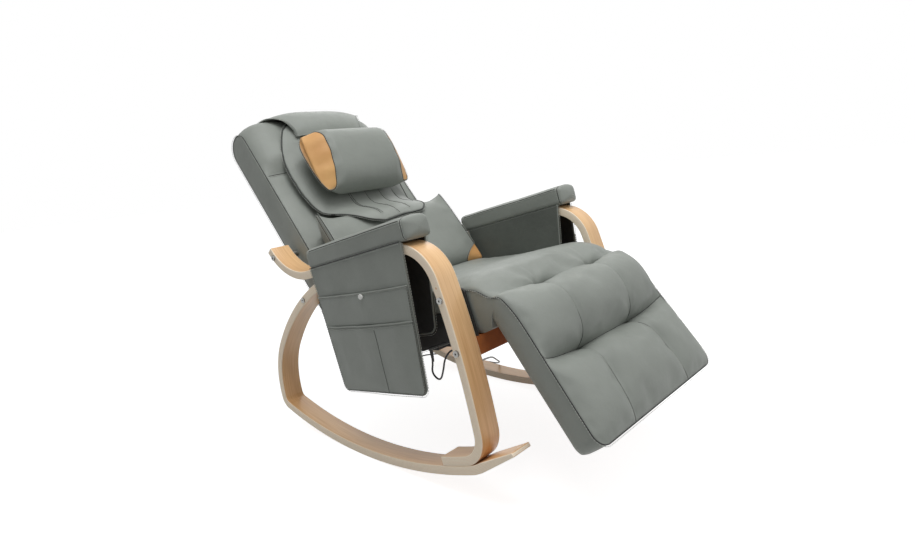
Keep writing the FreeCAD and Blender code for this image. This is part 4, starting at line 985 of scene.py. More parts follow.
@dataclass(frozen=True)
class SeatCover:
    """Tufted cover that runs from the back over the knee to the end of the leg rest.

    Flat coordinates are p along the cover, q across it and h out of it. The top is a crown that falls to
    the piping, less creases along the seams and pits where they cross.
    """

    seat_run: float = 0.584
    knee_radius: float = 0.040
    rest_run: float = 0.352
    half_width: float = 0.257
    rest_half: Pair = (0.264, 0.271)
    corner: float = 0.034
    tufts: Triple = (0.108, 0.107, 0.130)
    second_row: float = 0.147
    seam_bow: Pair = (0.030, 0.015)
    bow_run: Pair = (0.055, 0.070)
    crown: float = 0.026
    crown_from: float = 0.24
    crown_run: float = 0.30
    knee_dip: float = 0.021
    knee_dip_run: Pair = (0.036, 0.060)
    row_rise: float = 0.013
    seam_depth: Pair = (0.012, 0.036)
    column_depth: float = 0.012
    pit_depth: Pair = (0.028, 0.027)
    first_row: float = -0.004
    first_hold: float = 0.9
    piping_sink: float = 0.002
    crown_powers: Pair = (5.0, 0.65)
    end_power: float = 8.0
    rim_power: float = 10.0
    bow_power: float = 4.0
    seam_width: Pair = (0.034, 0.024)
    column_width: float = 0.012
    column_fade: Pair = (0.8, 0.06)
    pit_width: float = 0.020
    fold_depth: float = 0.0065
    folds: float = 5.0
    fold_turn: float = 9.0
    fold_reach: float = 0.045
    fold_core: float = 0.012
    crisp_depth: float = 0.011
    crisp_width: float = 0.005
    crisp_reach: float = 0.06
    waves: float = 0.0008
    under_seat: tuple[Pair, ...] = ((-0.524, -0.060), (-0.046, -0.060), (-0.022, -0.050))
    under_rest: tuple[Pair, ...] = ((0.012, -0.026), (0.344, -0.022), (0.352, -0.014))
    under_turns: Pair = (0.044, 0.012)
    under_width: float = 0.985
    wall_bulge: float = 0.004
    wall_rows: int = 8
    piping_proud: float = 0.0005
    bend_from: Pair = (-0.030, 0.0)
    bend_to: Pair = (0.050, -0.030)
    fill: float = 0.75
    row_counts: tuple[int, int, int, int] = (84, 56, 38, 12)
    columns: int = 91

    @property
    def base(self) -> list[Bend]:
        """Line of the cover in the side plane: seat, knee and leg rest."""
        start = SEAT.at(-self.seat_run, self.knee_radius)
        return chain(start, SEAT.way, [(self.seat_run, 0.0), bow(self.knee_radius, LEGREST.way - SEAT.way),
                                       (self.rest_run, 0.0)])

    @property
    def seams(self) -> Triple:
        """Place along the cover of the two cross seams and of the front end."""
        knee = self.seat_run + self.base[1].length
        return self.seat_run + self.first_row, knee + self.second_row, knee + self.rest_run

    def rows(self) -> Array:
        """Places of the grid's rows along the cover, close together at the seams and the front end."""
        first, second, end = self.seams
        quarters = [np.linspace(0.0, np.pi / 2, count) for count in self.row_counts]
        behind = first * np.sin(quarters[0])
        between = first + (second - first) * (1.0 - np.cos(2 * quarters[1])) / 2
        ahead = second + (end - self.corner - second) * (1.0 - np.cos(quarters[2]))
        round_end = end - self.corner * (1.0 - np.sin(quarters[3]))
        return np.concatenate([behind[:-1], between[:-1], ahead[:-1], round_end])

    def width(self, p: Array) -> Array:
        """Half width at places along the cover, rounded off at the front corners."""
        past = np.clip(p - (self.seams[2] - self.corner), 0.0, self.corner)
        half = np.interp(p, self.seams, (self.half_width, *self.rest_half))
        return half - self.corner + np.sqrt(self.corner ** 2 - past ** 2)

    def fan(self, p: Array, column: Array) -> Array:
        """Places across as shares of the half width, spread so that the tuft columns meet the tufts."""
        wide = (np.interp(p, self.seams, self.tufts) / self.width(p))[:, None]
        gain = 1.0 / (TUFT_SHARE * (1.0 - TUFT_SHARE))
        return column * (1.0 + gain * (wide - TUFT_SHARE) * (1.0 - np.abs(column)))

    def base_at(self, p: Array) -> tuple[Array, Array]:
        """Side-plane points and outward normals at places along the cover."""
        point, out, begun = np.zeros((*p.shape, 2)), np.zeros((*p.shape, 2)), 0.0
        for bend in self.base:
            share = (p - begun) / bend.length
            here = (share >= 0.0)[..., None]
            point = np.where(here, bend.at(share), point)
            out = np.where(here, heading(bend.way_at(share) + 90.0), out)
            begun += bend.length
        return point, out

    def height(self, p: Array, q: Array, share: Array) -> Array:
        """Height of the top over its base line.

        Args:
            p: Places along.
            q: Places across.
            share: Places across as a share of the half width.

        Returns:
            Piping line, plus crown, less creases (root of the sum of squares where two cross) and pits.
        """
        first, second, end = self.seams
        dip = np.exp(-((p - first) / np.where(p < first, *self.knee_dip_run)) ** 2)
        between = ramp(p, first, second)
        last = 1.0 - ramp(p, second, end) ** self.end_power
        grown = step_up(p, self.crown_from, self.crown_from + self.crown_run)
        fill = self.crown * grown + self.row_rise * np.sin(np.pi * between) ** 2
        across, rounding = self.crown_powers
        full = fill * (1.0 - np.abs(share) ** across) ** rounding * last
        inside = 1.0 - np.abs(share) ** self.rim_power
        least, run = self.column_fade
        ahead = np.where(p > first, 1.0, least * np.exp(-(first - p) / run))
        tuft = np.interp(p, self.seams, self.tufts)
        lines = self.column_depth * ahead * well(np.abs(q) - tuft, self.column_width) * last
        cross = sum(deep * well(p - row, width)
                    for row, deep, width in zip(self.seams, self.seam_depth, self.seam_width)) * inside
        sunk = np.hypot(lines, cross) + self.pits(p, q) * inside
        uneven = ripple(p, q, self.waves, seed=1.0) * inside
        return full - self.piping_sink - self.knee_dip * dip - sunk + uneven

    def pits(self, p: Array, q: Array) -> Array:
        """Depth of the pits where seams cross, at places along and across.

        Each falls off with the distance from its middle. Folds stand round it like a star, by the cosine of
        the angle times their number, and a crisp crease runs through it along the cross seam.
        """
        depth = np.zeros_like(p)
        for row, deep, spot in zip(self.seams, self.pit_depth, self.tufts):
            for column in (-spot, spot):
                gap = np.hypot(p - row, q - column)
                star = np.cos(self.folds * np.arctan2(q - column, p - row) + self.fold_turn * row)
                fold = self.fold_depth * star * np.exp(-gap / self.fold_reach) * gap / (gap + self.fold_core)
                crisp = self.crisp_depth * well(p - row, self.crisp_width) * np.exp(-gap / self.crisp_reach)
                depth += deep * np.exp(-gap / self.pit_width) + fold + crisp
        return depth

    def low(self, p: Array) -> Array:
        """Side-plane points of the underside, behind the knee and under the leg rest."""
        knee, end = self.seat_run + self.base[1].length, self.seams[2]
        spots = np.array([0.0, self.seat_run - self.under_turns[0], self.seat_run, knee,
                          end - self.under_turns[1], end])
        line = np.concatenate([slope.at(*np.array(points).T) for slope, points in (
            (SEAT, self.under_seat), (LEGREST, self.under_rest))])
        return spread(line, spots, p)

    def dress(self) -> None:
        """Make the cover, its piping and its seams."""
        p = self.rows()
        across = np.linspace(-1.0, 1.0, self.columns)
        place = np.broadcast_to(p[:, None], (len(p), self.columns))
        share = self.fan(p, across)
        q = self.width(p)[:, None] * share
        first, second, _ = self.seams
        bowed = np.zeros_like(place)
        for row, far, run in zip((first, second), self.seam_bow, self.bow_run):
            bowed = bowed + far * np.exp(-((place - row) / run) ** 2) * (1.0 - share ** self.bow_power)
        line, out = self.base_at(place + bowed)
        top = world(q, line + out * self.height(place, q, share)[..., None])
        normal = world(np.zeros_like(q), out)
        top = billow(top, self.sewn(place, across), Swell())
        below = world(q * self.under_width, np.broadcast_to(self.low(p)[:, None], (*q.shape, 2)))
        wall = np.linspace(0.0, 1.0, self.wall_rows)
        bulge = self.wall_bulge * np.sin(np.pi * wall)
        patches = [Patch(top), Patch(below)]
        for column, side in ((0, -1.0), (-1, 1.0)):
            strip = top[:, column, None] * (1 - wall)[:, None] + below[:, column, None] * wall[:, None]
            strip[..., 0] += side * bulge
            patches.append(Patch(strip))
        for row in (0, -1):
            end = top[row, None] * (1 - wall)[:, None, None] + below[row, None] * wall[:, None, None]
            patches.append(Patch(end))
        cover = cushion("seat_and_legrest_cover", patches, ["seat_cushion", "legrest_cushion"], "")
        rim_out = rim_of(normal)
        aside = np.concatenate([[[-1.0, 0.0, 0.0]] * len(p), np.zeros((self.columns - 2, 3)),
                                [[1.0, 0.0, 0.0]] * len(p)])
        piping = rim_of(top) + (rim_out + aside) * self.piping_proud
        pieces = [cover, seam("seat_piping", piping, rim_out, Sewn.SEAT_PIPING, "")]
        row = int(np.argmin(np.abs(p - second)))
        pieces.append(seam("legrest_seam", top[row], normal[row], Sewn.CROSS_SEAM, ""))
        ahead = int(np.argmin(np.abs(p - first)))
        for name, spot in (("near_tuft_seam", -TUFT_SHARE), ("far_tuft_seam", TUFT_SHARE)):
            column = int(np.argmin(np.abs(across - spot)))
            pieces.append(seam(name, top[ahead:, column], normal[ahead:, column], Sewn.TUFT_SEAM, ""))
        start, end = (world(0.0, np.array(KNEE) + way) for way in (self.bend_from, self.bend_to))
        for piece in pieces:
            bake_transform(piece)

    def sewn(self, p: Array, across: Array) -> Array:
        """How firmly each point is held: fully on the piping and the seams, not at all between them."""
        first, second, _ = self.seams
        held = np.zeros_like(p)
        held[:, [0, -1]] = held[[0, -1], :] = 1.0
        held[np.abs(p - second) < NEAR] = 1.0
        seam_columns = np.abs(np.abs(across) - TUFT_SHARE) < NEAR
        held = np.where(seam_columns & (p >= first - NEAR), 1.0, held)
        held[np.abs(p - first) < NEAR] = self.first_hold
        return held


@dataclass(frozen=True)
class Swell:
    """Cloth under pressure: how hard, how slack, for how many steps, and how far a point may move."""

    pressure: float = 6.0
    slack: float = -0.014
    steps: int = 14
    cap: float = 0.008
    mass: float = 0.25
    bending: float = 4.0
    stiffness: float = 25.0
    shear: float = 12.0
    quality: int = 6


def billow(points: Array, held: Array, swell: Swell) -> Array:
    """Let a grid of cloth swell and wrinkle between the points that are sewn down.

    Args:
        points: Grid (R, C, 3) in its drawn shape.
        held: How firmly each point is held, from 0 to 1.
        swell: The cloth's settings.

    Returns:
        The grid after the simulation, no point further from its drawn place than the cap.
    """
    quads, _ = Patch(points).faces()
    mesh = bpy.data.meshes.new("cloth")
    mesh.from_pydata(points.reshape(-1, 3).tolist(), [], quads.tolist())
    cloth = bpy.data.objects.new("cloth", mesh)
    scene = bpy.context.scene
    scene.collection.objects.link(cloth)
    group = cloth.vertex_groups.new(name="held")
    flat = held.ravel()
    for firm in np.unique(flat[flat > 0.0]):
        group.add(np.flatnonzero(flat == firm).tolist(), float(firm), "REPLACE")
    modifier = cloth.modifiers.new("cloth", "CLOTH")
    settings = modifier.settings
    settings.quality, settings.mass = swell.quality, swell.mass
    settings.tension_stiffness = settings.compression_stiffness = swell.stiffness
    settings.shear_stiffness, settings.bending_stiffness = swell.shear, swell.bending
    settings.use_pressure, settings.uniform_pressure_force = True, swell.pressure
    settings.shrink_min = swell.slack
    settings.vertex_group_mass = "held"
    settings.effector_weights.gravity = 0.0
    modifier.collision_settings.use_collision = False
    modifier.point_cache.frame_start, modifier.point_cache.frame_end = 1, swell.steps
    for step in range(1, swell.steps + 1):
        scene.frame_set(step)
    solved = cloth.evaluated_get(bpy.context.evaluated_depsgraph_get()).data
    moved = np.empty(points.size, np.float32)
    solved.vertices.foreach_get("co", moved)
    scene.frame_set(1)
    bpy.data.objects.remove(cloth)
    bpy.data.meshes.remove(mesh)
    step = calm(moved.reshape(points.shape) - points) * (1.0 - held)[..., None]
    reach = np.linalg.norm(step, axis=-1, keepdims=True)
    return points + step * np.minimum(1.0, swell.cap / np.maximum(reach, 1e-9))


def calm(grid: Array) -> Array:
    """A grid averaged with its neighbours, twice along each way: a quarter, a half and a quarter."""
    for axis in (0, 1, 0, 1):
        wide = np.concatenate([grid.take([0], axis), grid, grid.take([-1], axis)], axis)
        count = np.arange(grid.shape[axis])
        grid = (wide.take(count, axis) + 2.0 * grid + wide.take(count + 2, axis)) / 4.0
    return grid


# back, pillows and flap

@dataclass(frozen=True)
class BackCushion:
    """Boxed back: a cover carried round the side outline, crowned across, between two side panels."""

    low: float = -0.245
    high: float = 0.440
    rear: float = -0.041
    half_width: float = 0.249
    top_round: float = 0.044
    low_round: float = 0.018
    crown: float = 0.016
    head_crown: float = 0.040
    crown_powers: Pair = (4.0, 8.0)
    top_share: float = 0.35
    head_seam: float = 0.247
    head_fade: Pair = (-0.01, 0.06)
    crease: Pair = (0.006, 0.010)
    crease_power: float = 12.0
    waves: float = 0.0008
    wave_power: float = 6.0
    facing: float = 0.9
    panel_rings: Row = (1.0, 0.97, 0.85, 0.6, 0.3, 0.0)
    panel_bulge: float = 0.005
    piping_proud: float = 0.0008
    fill: float = 0.8
    step: float = 0.007
    columns: int = 61

    def outline(self) -> tuple[Array, Array]:
        """Points (up, out) and outward normals round the side: front, top, rear and bottom."""
        deep = BACK_FACE - self.rear
        face = self.high - self.low - self.top_round - self.low_round
        bends = chain((self.low + self.low_round, BACK_FACE), 0.0, [
            (face, 0.0), bow(self.top_round, -90.0), (deep - 2 * self.top_round, 0.0),
            bow(self.top_round, -90.0), (face, 0.0), bow(self.low_round, -90.0),
            (deep - 2 * self.low_round, 0.0), bow(self.low_round, -90.0)])
        points, normals = sample(bends, self.step)
        return points[:-1], normals[:-1]

    def dress(self) -> None:
        """Make the cushion, its piping and the seam across the head."""
        line, out = self.outline()
        share = np.linspace(-1.0, 1.0, self.columns)
        off, faces = np.abs(share), out[:, 1] > self.facing
        front = np.clip(out[:, 1], 0.0, 1.0) + self.top_share * np.clip(out[:, 0], 0.0, 1.0)
        head = step_up(line[:, 0], *(self.head_seam + part for part in self.head_fade))[:, None]
        low, high = self.crown_powers
        puff = front[:, None] * (self.crown * (1.0 - head) * (1.0 - off ** low)
                                 + self.head_crown * head * (1.0 - off ** high))
        depth, width = self.crease
        crease = depth * (well(line[:, 0] - self.head_seam, width) * faces)[:, None]
        swell = puff - crease * (1.0 - off ** self.crease_power)
        uneven = ripple(line[:, :1], share * self.half_width, self.waves, seed=2.0)
        swell += uneven * (1.0 - off ** self.wave_power)
        flat = line[:, None] + out[:, None] * swell[..., None]
        cover = world(share * self.half_width, on_back(flat[..., 0], flat[..., 1]))
        patches = [Patch(cover, loop_rows=True)]
        middle = np.array([(self.low + self.high) / 2, (self.rear + BACK_FACE) / 2])
        inward = np.array(self.panel_rings)
        for column, side in ((0, -1.0), (-1, 1.0)):
            ring = middle + (flat[:, column, None] - middle) * inward[:, None]
            bulge = side * (self.half_width + self.panel_bulge * (1.0 - inward ** 4))
            patches.append(Patch(world(bulge, on_back(ring[..., 0], ring[..., 1])), loop_rows=True))
        cushion("back_cushion_cover", patches, ["back_cushion"])
        normal = back_way(out)
        for name, column in (("right_back_piping", 0), ("left_back_piping", -1)):
            path = cover[:, column] + normal * self.piping_proud
            seam(name, path, normal, Sewn.BACK_PIPING, closed=True)
        row = int(np.argmin(np.abs(line[:, 0] - self.head_seam) + ~faces))
        seam("head_seam", cover[row, 1:-1], normal[row], Sewn.PLAIN_SEAM)


@dataclass(frozen=True)
class RollPillow:
    """Stuffed pillow across the back: a D section, cut slantwise at both ends, with end panels in tan.

    The section is a superellipse, fuller at the front than behind. The end panels meet the middle one on a
    seam that comes in at the front, by insets that go with the rise in the section, from -1 to 1.
    """

    name: str
    node: str
    body: str
    low: float
    high: float
    rear: float
    depth: float
    half_width: float
    flank: float
    slant: float
    draw_in: float
    lean: float
    insets: tuple[Pair, ...]
    tall_power: float
    front_power: float
    core: float
    rounded: float
    cap: int
    fill: float = 0.85
    rear_share: float = 0.5
    rear_power: float = 0.45
    seam_power: float = 0.5
    seam_gap: float = 0.0006
    slant_power: float = 1.2
    cap_bulge: float = 0.004
    tucks: Triple = (0.0064, 4.0 * np.pi, 1.2)
    waves: float = 0.0014
    wave_from: float = 0.3
    points: int = 112
    columns: tuple[int, int, int] = (71, 14, 9)

    def section(self, turn: Array) -> tuple[Array, Array]:
        """Shares (up, out) of the D section round the pillow; out is 0 behind and 1 in front."""
        up, out = np.cos(turn), np.sin(turn)
        rise = np.sign(up) * np.abs(up) ** self.tall_power
        behind = self.rear_share * np.abs(out) ** self.rear_power
        ahead = np.where(out > 0, np.abs(out) ** self.front_power, -behind)
        return rise, (ahead + self.rear_share) / (1.0 + self.rear_share)

    def dress(self) -> None:
        """Make the pillow with its three panels and its two seams."""
        turn = around(self.points)
        rise, ahead = self.section(turn)
        edge = self.edge(rise)
        inset = np.interp(rise, *np.array(self.insets).T) * np.clip(np.sin(turn), 0.0, 1.0) ** self.seam_power
        seam_at = edge - self.seam_gap - inset
        inner, outer, closing = self.columns
        middle = np.linspace(-1.0, 1.0, inner)[:, None] * seam_at
        far = seam_at + np.linspace(0.0, 1.0, outer)[:, None] * (edge - seam_at)
        shut = np.linspace(1.0, 0.0, closing)[:, None]
        patches = [Patch(self.surface(middle, rise, ahead), loop_cols=True)]
        for side in (-1.0, 1.0):
            patches.append(Patch(self.surface(side * far, rise, ahead), loop_cols=True, finish=1))
            cap = self.surface(side * edge[None], rise, ahead)
            centre = cap.mean(axis=1, keepdims=True) + [[[side * self.cap_bulge, 0.0, 0.0]]]
            patches.append(Patch(centre + (cap - centre) * shut[..., None], loop_cols=True, finish=self.cap))
        cushion(self.name, patches, [self.node], self.body, [GREY, TAN])
        ring = patches[0].points
        centre = ring.mean(axis=(0, 1))
        for title, row in (("right", 0), ("left", -1)):
            out = unit(ring[row] - centre)
            seam(f"{title}_{self.name}_seam", ring[row], out, Sewn.PILLOW_SEAM, self.body, True)

    def edge(self, rise: Array) -> Array:
        """Half width round the section, less at its top and bottom by the fourth power of the rise."""
        return self.half_width * (1.0 - self.rounded * np.abs(rise) ** 4)

    def surface(self, x: Array, rise: Array, ahead: Array) -> Array:
        """Points of the pillow at places across, for the shares round its section."""
        past = np.clip((np.abs(x) - self.flank) / (self.edge(rise) - self.flank), 0.0, 1.0)
        half = (self.high - self.low) / 2
        up = self.low + half + half * rise * (1.0 - self.draw_in * past ** 2)
        cut = 1.0 - self.slant * past ** self.slant_power
        out = self.rear + self.depth * (self.core + (ahead - self.core) * cut)
        out = out + self.lean * (up - self.low - half) * np.clip(ahead, 0.0, 1.0)
        deep, rate, start = self.tucks
        tucks = deep * np.sin(rate * rise + start) * past * (1.0 - past)
        uneven = ripple(up, x, self.waves, seed=5.0 * self.depth)
        out = out + (uneven + tucks) * (ahead > self.wave_from)
        return world(x, on_back(up, out))


PILLOWS = (
    RollPillow("neck_roll", "neck_pillow", "neck_unit", low=0.090, high=0.290, rear=0.114, depth=0.114,
               half_width=0.171, flank=0.100, slant=0.88, draw_in=0.05, lean=0.20,
               insets=((-1.0, 0.042), (1.0, 0.058)), tall_power=0.80, front_power=0.86, core=0.42,
               rounded=0.09, cap=1),
    RollPillow("lumbar_roll", "lumbar_pillow", "chair", low=-0.245, high=0.010, rear=BACK_FACE, depth=0.118,
               half_width=0.242, flank=0.190, slant=0.88, draw_in=-0.05, lean=0.0,
               insets=((-1.0, 0.085), (-0.60, 0.0), (1.0, 0.0)), tall_power=0.42, front_power=0.50, core=0.95,
               rounded=0.0, cap=0))


@dataclass(frozen=True)
class HeadFlap:
    """Padded bib over the back: a drawn outline filled by a disc-shaped grid, thin at its bound edge.

    Its lower part leans out over the top of the lumbar pillow.
    """

    middle: float = 0.180
    thickness: float = 0.020
    outline: tuple[Pair, ...] = (
        (0.0, -0.058), (0.055, -0.054), (0.105, -0.040), (0.140, -0.012), (0.160, 0.025), (0.174, 0.068),
        (0.186, 0.118), (0.193, 0.183), (0.191, 0.240), (0.181, 0.290), (0.165, 0.338), (0.142, 0.382),
        (0.108, 0.408), (0.0, 0.412))
    profile: tuple[Pair, ...] = (
        (-0.060, 0.196), (-0.030, 0.188), (-0.005, 0.174), (0.018, 0.152), (0.038, 0.131), (0.056, 0.117),
        (0.080, 0.112), (0.120, 0.111), (0.230, 0.111), (0.300, 0.111), (0.345, 0.119), (0.410, 0.120))
    channels: Row = (-0.057, -0.050, 0.006, 0.062, 0.120)
    channel_top: float = 0.115
    channel_foot: Pair = (-0.046, 3.6)
    channel_depth: Pair = (0.0022, 0.006)
    channel_fade: Pair = (0.12, 0.08)
    thread_sink: float = 0.0016
    half_width: float = 0.193
    side_drop: float = 0.019
    drop_from: Pair = (-0.04, 0.06)
    least_drop: float = 0.3
    hem_wave: Triple = (0.007, 31.0, 0.6)
    hem_from: float = 0.10
    rim_drop: float = 0.008
    rim_power: float = 10.0
    thin_from: Pair = (-0.10, 0.10)
    least_thick: float = 0.4
    waves: float = 0.0014
    fill: float = 0.5
    columns: int = 71
    samples: tuple[int, int] = (160, 13)
    stitches: int = 24

    def reach(self, turn: Array) -> Array:
        """Distance from the middle to the outline in each direction, read between its points."""
        rim = np.array(self.outline) - [0.0, self.middle]
        angle = np.arctan2(rim[:, 1], rim[:, 0])
        return np.interp(np.arctan2(np.sin(turn), np.abs(np.cos(turn))), angle, np.hypot(*rim.T))

    def out(self, x: Array, up: Array) -> Array:
        """Height of the front over the back, bowed across."""
        count, window = self.samples
        spots = np.linspace(self.profile[0][0], self.profile[-1][0], count)
        line = smooth(np.stack([spots, np.interp(spots, *np.array(self.profile).T)], axis=-1), window)
        drop = self.side_drop * np.maximum(ramp(up, *self.drop_from), self.least_drop)
        bowed = drop * (x / self.half_width) ** 2
        return np.interp(up, spots, line[:, 1]) - bowed + ripple(x, up, self.waves, seed=4.0)

    def dress(self) -> None:
        """Make the bib, its bound edge and its sewn channels."""
        side = np.linspace(-1.0, 1.0, self.columns)
        u, v = np.meshgrid(side, side, indexing="ij")
        a, b = u * np.sqrt(1.0 - v ** 2 / 2), v * np.sqrt(1.0 - u ** 2 / 2)
        share, turn = np.hypot(a, b), np.arctan2(b, a)
        reach = share * self.reach(turn)
        x, up = reach * np.cos(turn), self.middle + reach * np.sin(turn)
        size, rate, start = self.hem_wave
        up = up + size * np.sin(rate * x + start) * ramp(up, self.hem_from, 0.0)
        out = self.out(x, up) - self.rim_drop * share ** self.rim_power
        deep, width = self.channel_depth
        for column in self.channels:
            out = out - deep * well(x - column, width) * ramp(up, *self.channel_fade)
        thick = self.thickness * np.maximum(ramp(up, *self.thin_from), self.least_thick)
        back = out - thick * (1.0 - share ** self.rim_power)
        front = world(x, on_back(up, out))
        cushion("head_flap_pad", [Patch(front), Patch(world(x, on_back(up, back)))], ["head_flap"])
        rim = np.concatenate([front[:-1, 0], front[-1, :-1], front[:0:-1, -1], front[0, :0:-1]])
        normal = world(0.0, BACK.outward)
        seam("head_flap_binding", rim, normal, Sewn.FLAP_BINDING, closed=True)
        foot, curve = self.channel_foot
        for number, column in enumerate(self.channels):
            run = np.linspace(self.channel_top, foot + curve * column ** 2, self.stitches)
            path = world(column, on_back(run, self.out(column, run) - self.thread_sink))
            seam(f"flap_channel_{number}", path, normal, Sewn.DARK_ROW)


@dataclass(frozen=True)
class TopStrap:
    """Broad padded strap over the top of the back, which holds the bib and is sewn down behind."""

    up: Row = (0.328, 0.362, 0.412, 0.454, 0.477, 0.472, 0.446, 0.402, 0.345)
    out: Row = (0.132, 0.146, 0.140, 0.112, 0.060, 0.006, -0.036, -0.054, -0.058)
    widths: Row = (0.128, 0.130, 0.142, 0.170, 0.188, 0.186, 0.180, 0.175, 0.172)
    inside: Pair = (0.38, 0.02)
    thickness: float = 0.012
    aside: float = 0.010
    side_drop: float = 0.019
    rim_powers: Pair = (10.0, 24.0)
    wave: Triple = (0.3, 0.17, 0.001)
    fill: float = 0.4
    window: int = 9
    rows: int = 72
    columns: int = 49

    def dress(self) -> None:
        """Carry a thin padded section along a smooth line over the top, crowned across."""
        share = np.linspace(0.0, 1.0, self.rows)
        spots = np.linspace(0.0, 1.0, len(self.up))
        drawn = np.stack([self.up, self.out, self.widths], axis=-1)
        up, out, half = spread(drawn, spots, share).T
        line = smooth(np.stack([up, out], axis=-1), self.window)
        across = np.linspace(-1.0, 1.0, self.columns)
        forward = unit(np.gradient(line, axis=0))
        normal = np.stack([-forward[:, 1], forward[:, 0]], axis=-1)
        normal = normal * np.sign(np.sum(normal * (line - self.inside), axis=-1, keepdims=True))
        side, end = self.rim_powers
        rim = np.maximum(np.abs(across)[None] ** side, np.abs(2.0 * share - 1.0)[:, None] ** end)
        along, wide, deep = self.wave
        uneven = ripple(share[:, None] * along, across * wide, deep, seed=7.0)
        lift = uneven - self.side_drop * np.abs(across) ** 3
        x = self.aside + half[:, None] * across
        front = line[:, None] + normal[:, None] * lift[..., None]
        back = front - normal[:, None] * (self.thickness * (1.0 - rim))[..., None]
        top, under = (world(x, on_back(face[..., 0], face[..., 1])) for face in (front, back))
        cushion("top_strap_pad", [Patch(top), Patch(under)], ["top_strap"])
        facing = back_way(normal)
        for name, column in (("right", 0), ("left", -1)):
            seam(f"{name}_strap_edge", top[:, column], facing, Sewn.STRAP_EDGE)


def smooth(line: Array, width: int) -> Array:
    """A line of points averaged over a window, its ends kept."""
    padded = np.concatenate([np.repeat(line[:1], width // 2, axis=0), line,
                             np.repeat(line[-1:], width // 2, axis=0)])
    kernel = np.ones(width) / width
    return np.stack([np.convolve(column, kernel, "valid") for column in padded.T], axis=-1)


# arms

def hang(name: str, points: Array, facing: Array, stands_for: Sequence[str],
         thickness: float = 0.0030, area: Optional[float] = None, front: Finish = GREY) -> None:
    """A sheet of upholstery, lined inside.

    Args:
        name: Name of the piece.
        points: Grid of its outer face.
        facing: Direction that the outer face looks to.
        stands_for: Nodes that it replaces.
        thickness: Thickness of the sheet.
        area: Area of the cut when it isn't a rectangle; not used.
        front: Finish of the outside.
    """
    cross = np.cross(points[1, 0] - points[0, 0], points[0, 1] - points[0, 0])
    grid = points if cross @ facing > 0 else points[::-1]
    thing = build(name, [Patch(grid)], [front, LINING], closed=False)
    shell = thing.modifiers.new("cloth", "SOLIDIFY")
    shell.thickness, shell.offset, shell.material_offset = thickness, -1.0, 1
    settle(thing, stands_for=stands_for)


@dataclass(frozen=True)
class Panel:
    """A panel that hangs from an arm pad: its edges along the arm, above and below, and its slight waves."""

    title: str
    x: float
    facing: float
    front: Pair
    rear: Pair
    drop: float
    wave: float
    leather: Finish
    corner: float = 0.018
    sway: Triple = (2.4 * np.pi, 1.2, 2.0)
    rows: tuple[int, int] = (44, 10)

    def fall(self) -> Array:
        """Distances down the panel, close together round the lower corners."""
        body, round_rows = self.rows
        bend = np.sin(np.linspace(0.0, np.pi / 2, round_rows))
        return np.concatenate([np.linspace(0.0, self.drop - self.corner, body)[:-1],
                               self.drop - self.corner * (1.0 - bend)])

    def edges(self, fall: Array) -> tuple[Array, Array]:
        """Front and rear edge at distances down the panel, drawn in round its lower corners."""
        share = fall / self.drop
        past = np.clip(fall - (self.drop - self.corner), 0.0, self.corner)
        inset = self.corner - np.sqrt(self.corner ** 2 - past ** 2)
        fore, aft = (edge[0] + share * (edge[1] - edge[0]) for edge in (self.front, self.rear))
        return fore - inset, aft + inset

    def bent(self, share: Array, across: Array) -> Array:
        """Waves: sines across that grow down the panel."""
        wide, down, shift = self.sway
        return self.wave * share * np.sin(wide * across + down * share + shift * self.facing)


OUTER = Panel("outer", 0.337, 1.0, (0.035, -0.011), (-0.342, -0.326), 0.338, 0.0018, GREY)
# The inner panel's leather is darker than the outer one's: painted shade.
INNER = Panel("inner", 0.263, -1.0, (0.040, -0.009), (-0.322, -0.300), 0.222, 0.0015, Palette.INNER.value)


@dataclass(frozen=True)
class Pocket:
    """Patch pocket: flat where it is sewn to the panel, standing off at its hemmed mouth.

    Mouth and bottom are distances down the panel. A divider is a seam down the pocket, at a share across.
    """

    tier: str
    mouth: float
    bottom: float
    depth: float
    divider: Optional[float] = None
    divider_width: float = 0.10
    divider_pull: float = 0.45
    divider_from: float = 0.2
    x: float = 0.3405
    edge_inset: float = 0.0002
    flat_power: float = 5.0
    lip: Triple = (0.75, 0.25, 9.0)
    mouth_sag: float = 0.003
    allowance: float = 0.005
    thickness: float = 0.0024
    rows: int = 30

    def stand(self, down: Array, across: Array) -> Array:
        """How far the pocket stands off, by shares down it and places across from -1 to 1."""
        mean, swing, rate = self.lip
        off = self.depth * (1.0 - np.abs(across) ** self.flat_power) * (1.0 - down ** 2)
        off = off * (mean + swing * np.cos(rate * across))
        if self.divider is None:
            return off
        pull = well(across - self.divider, self.divider_width) * ramp(down, 0.0, self.divider_from)
        return off - self.divider_pull * off * pull


POCKETS = (Pocket("upper", 0.084, 0.166, 0.0028), Pocket("lower", 0.164, 0.336, 0.0055, divider=0.16))
SHEET_COLUMNS = 61


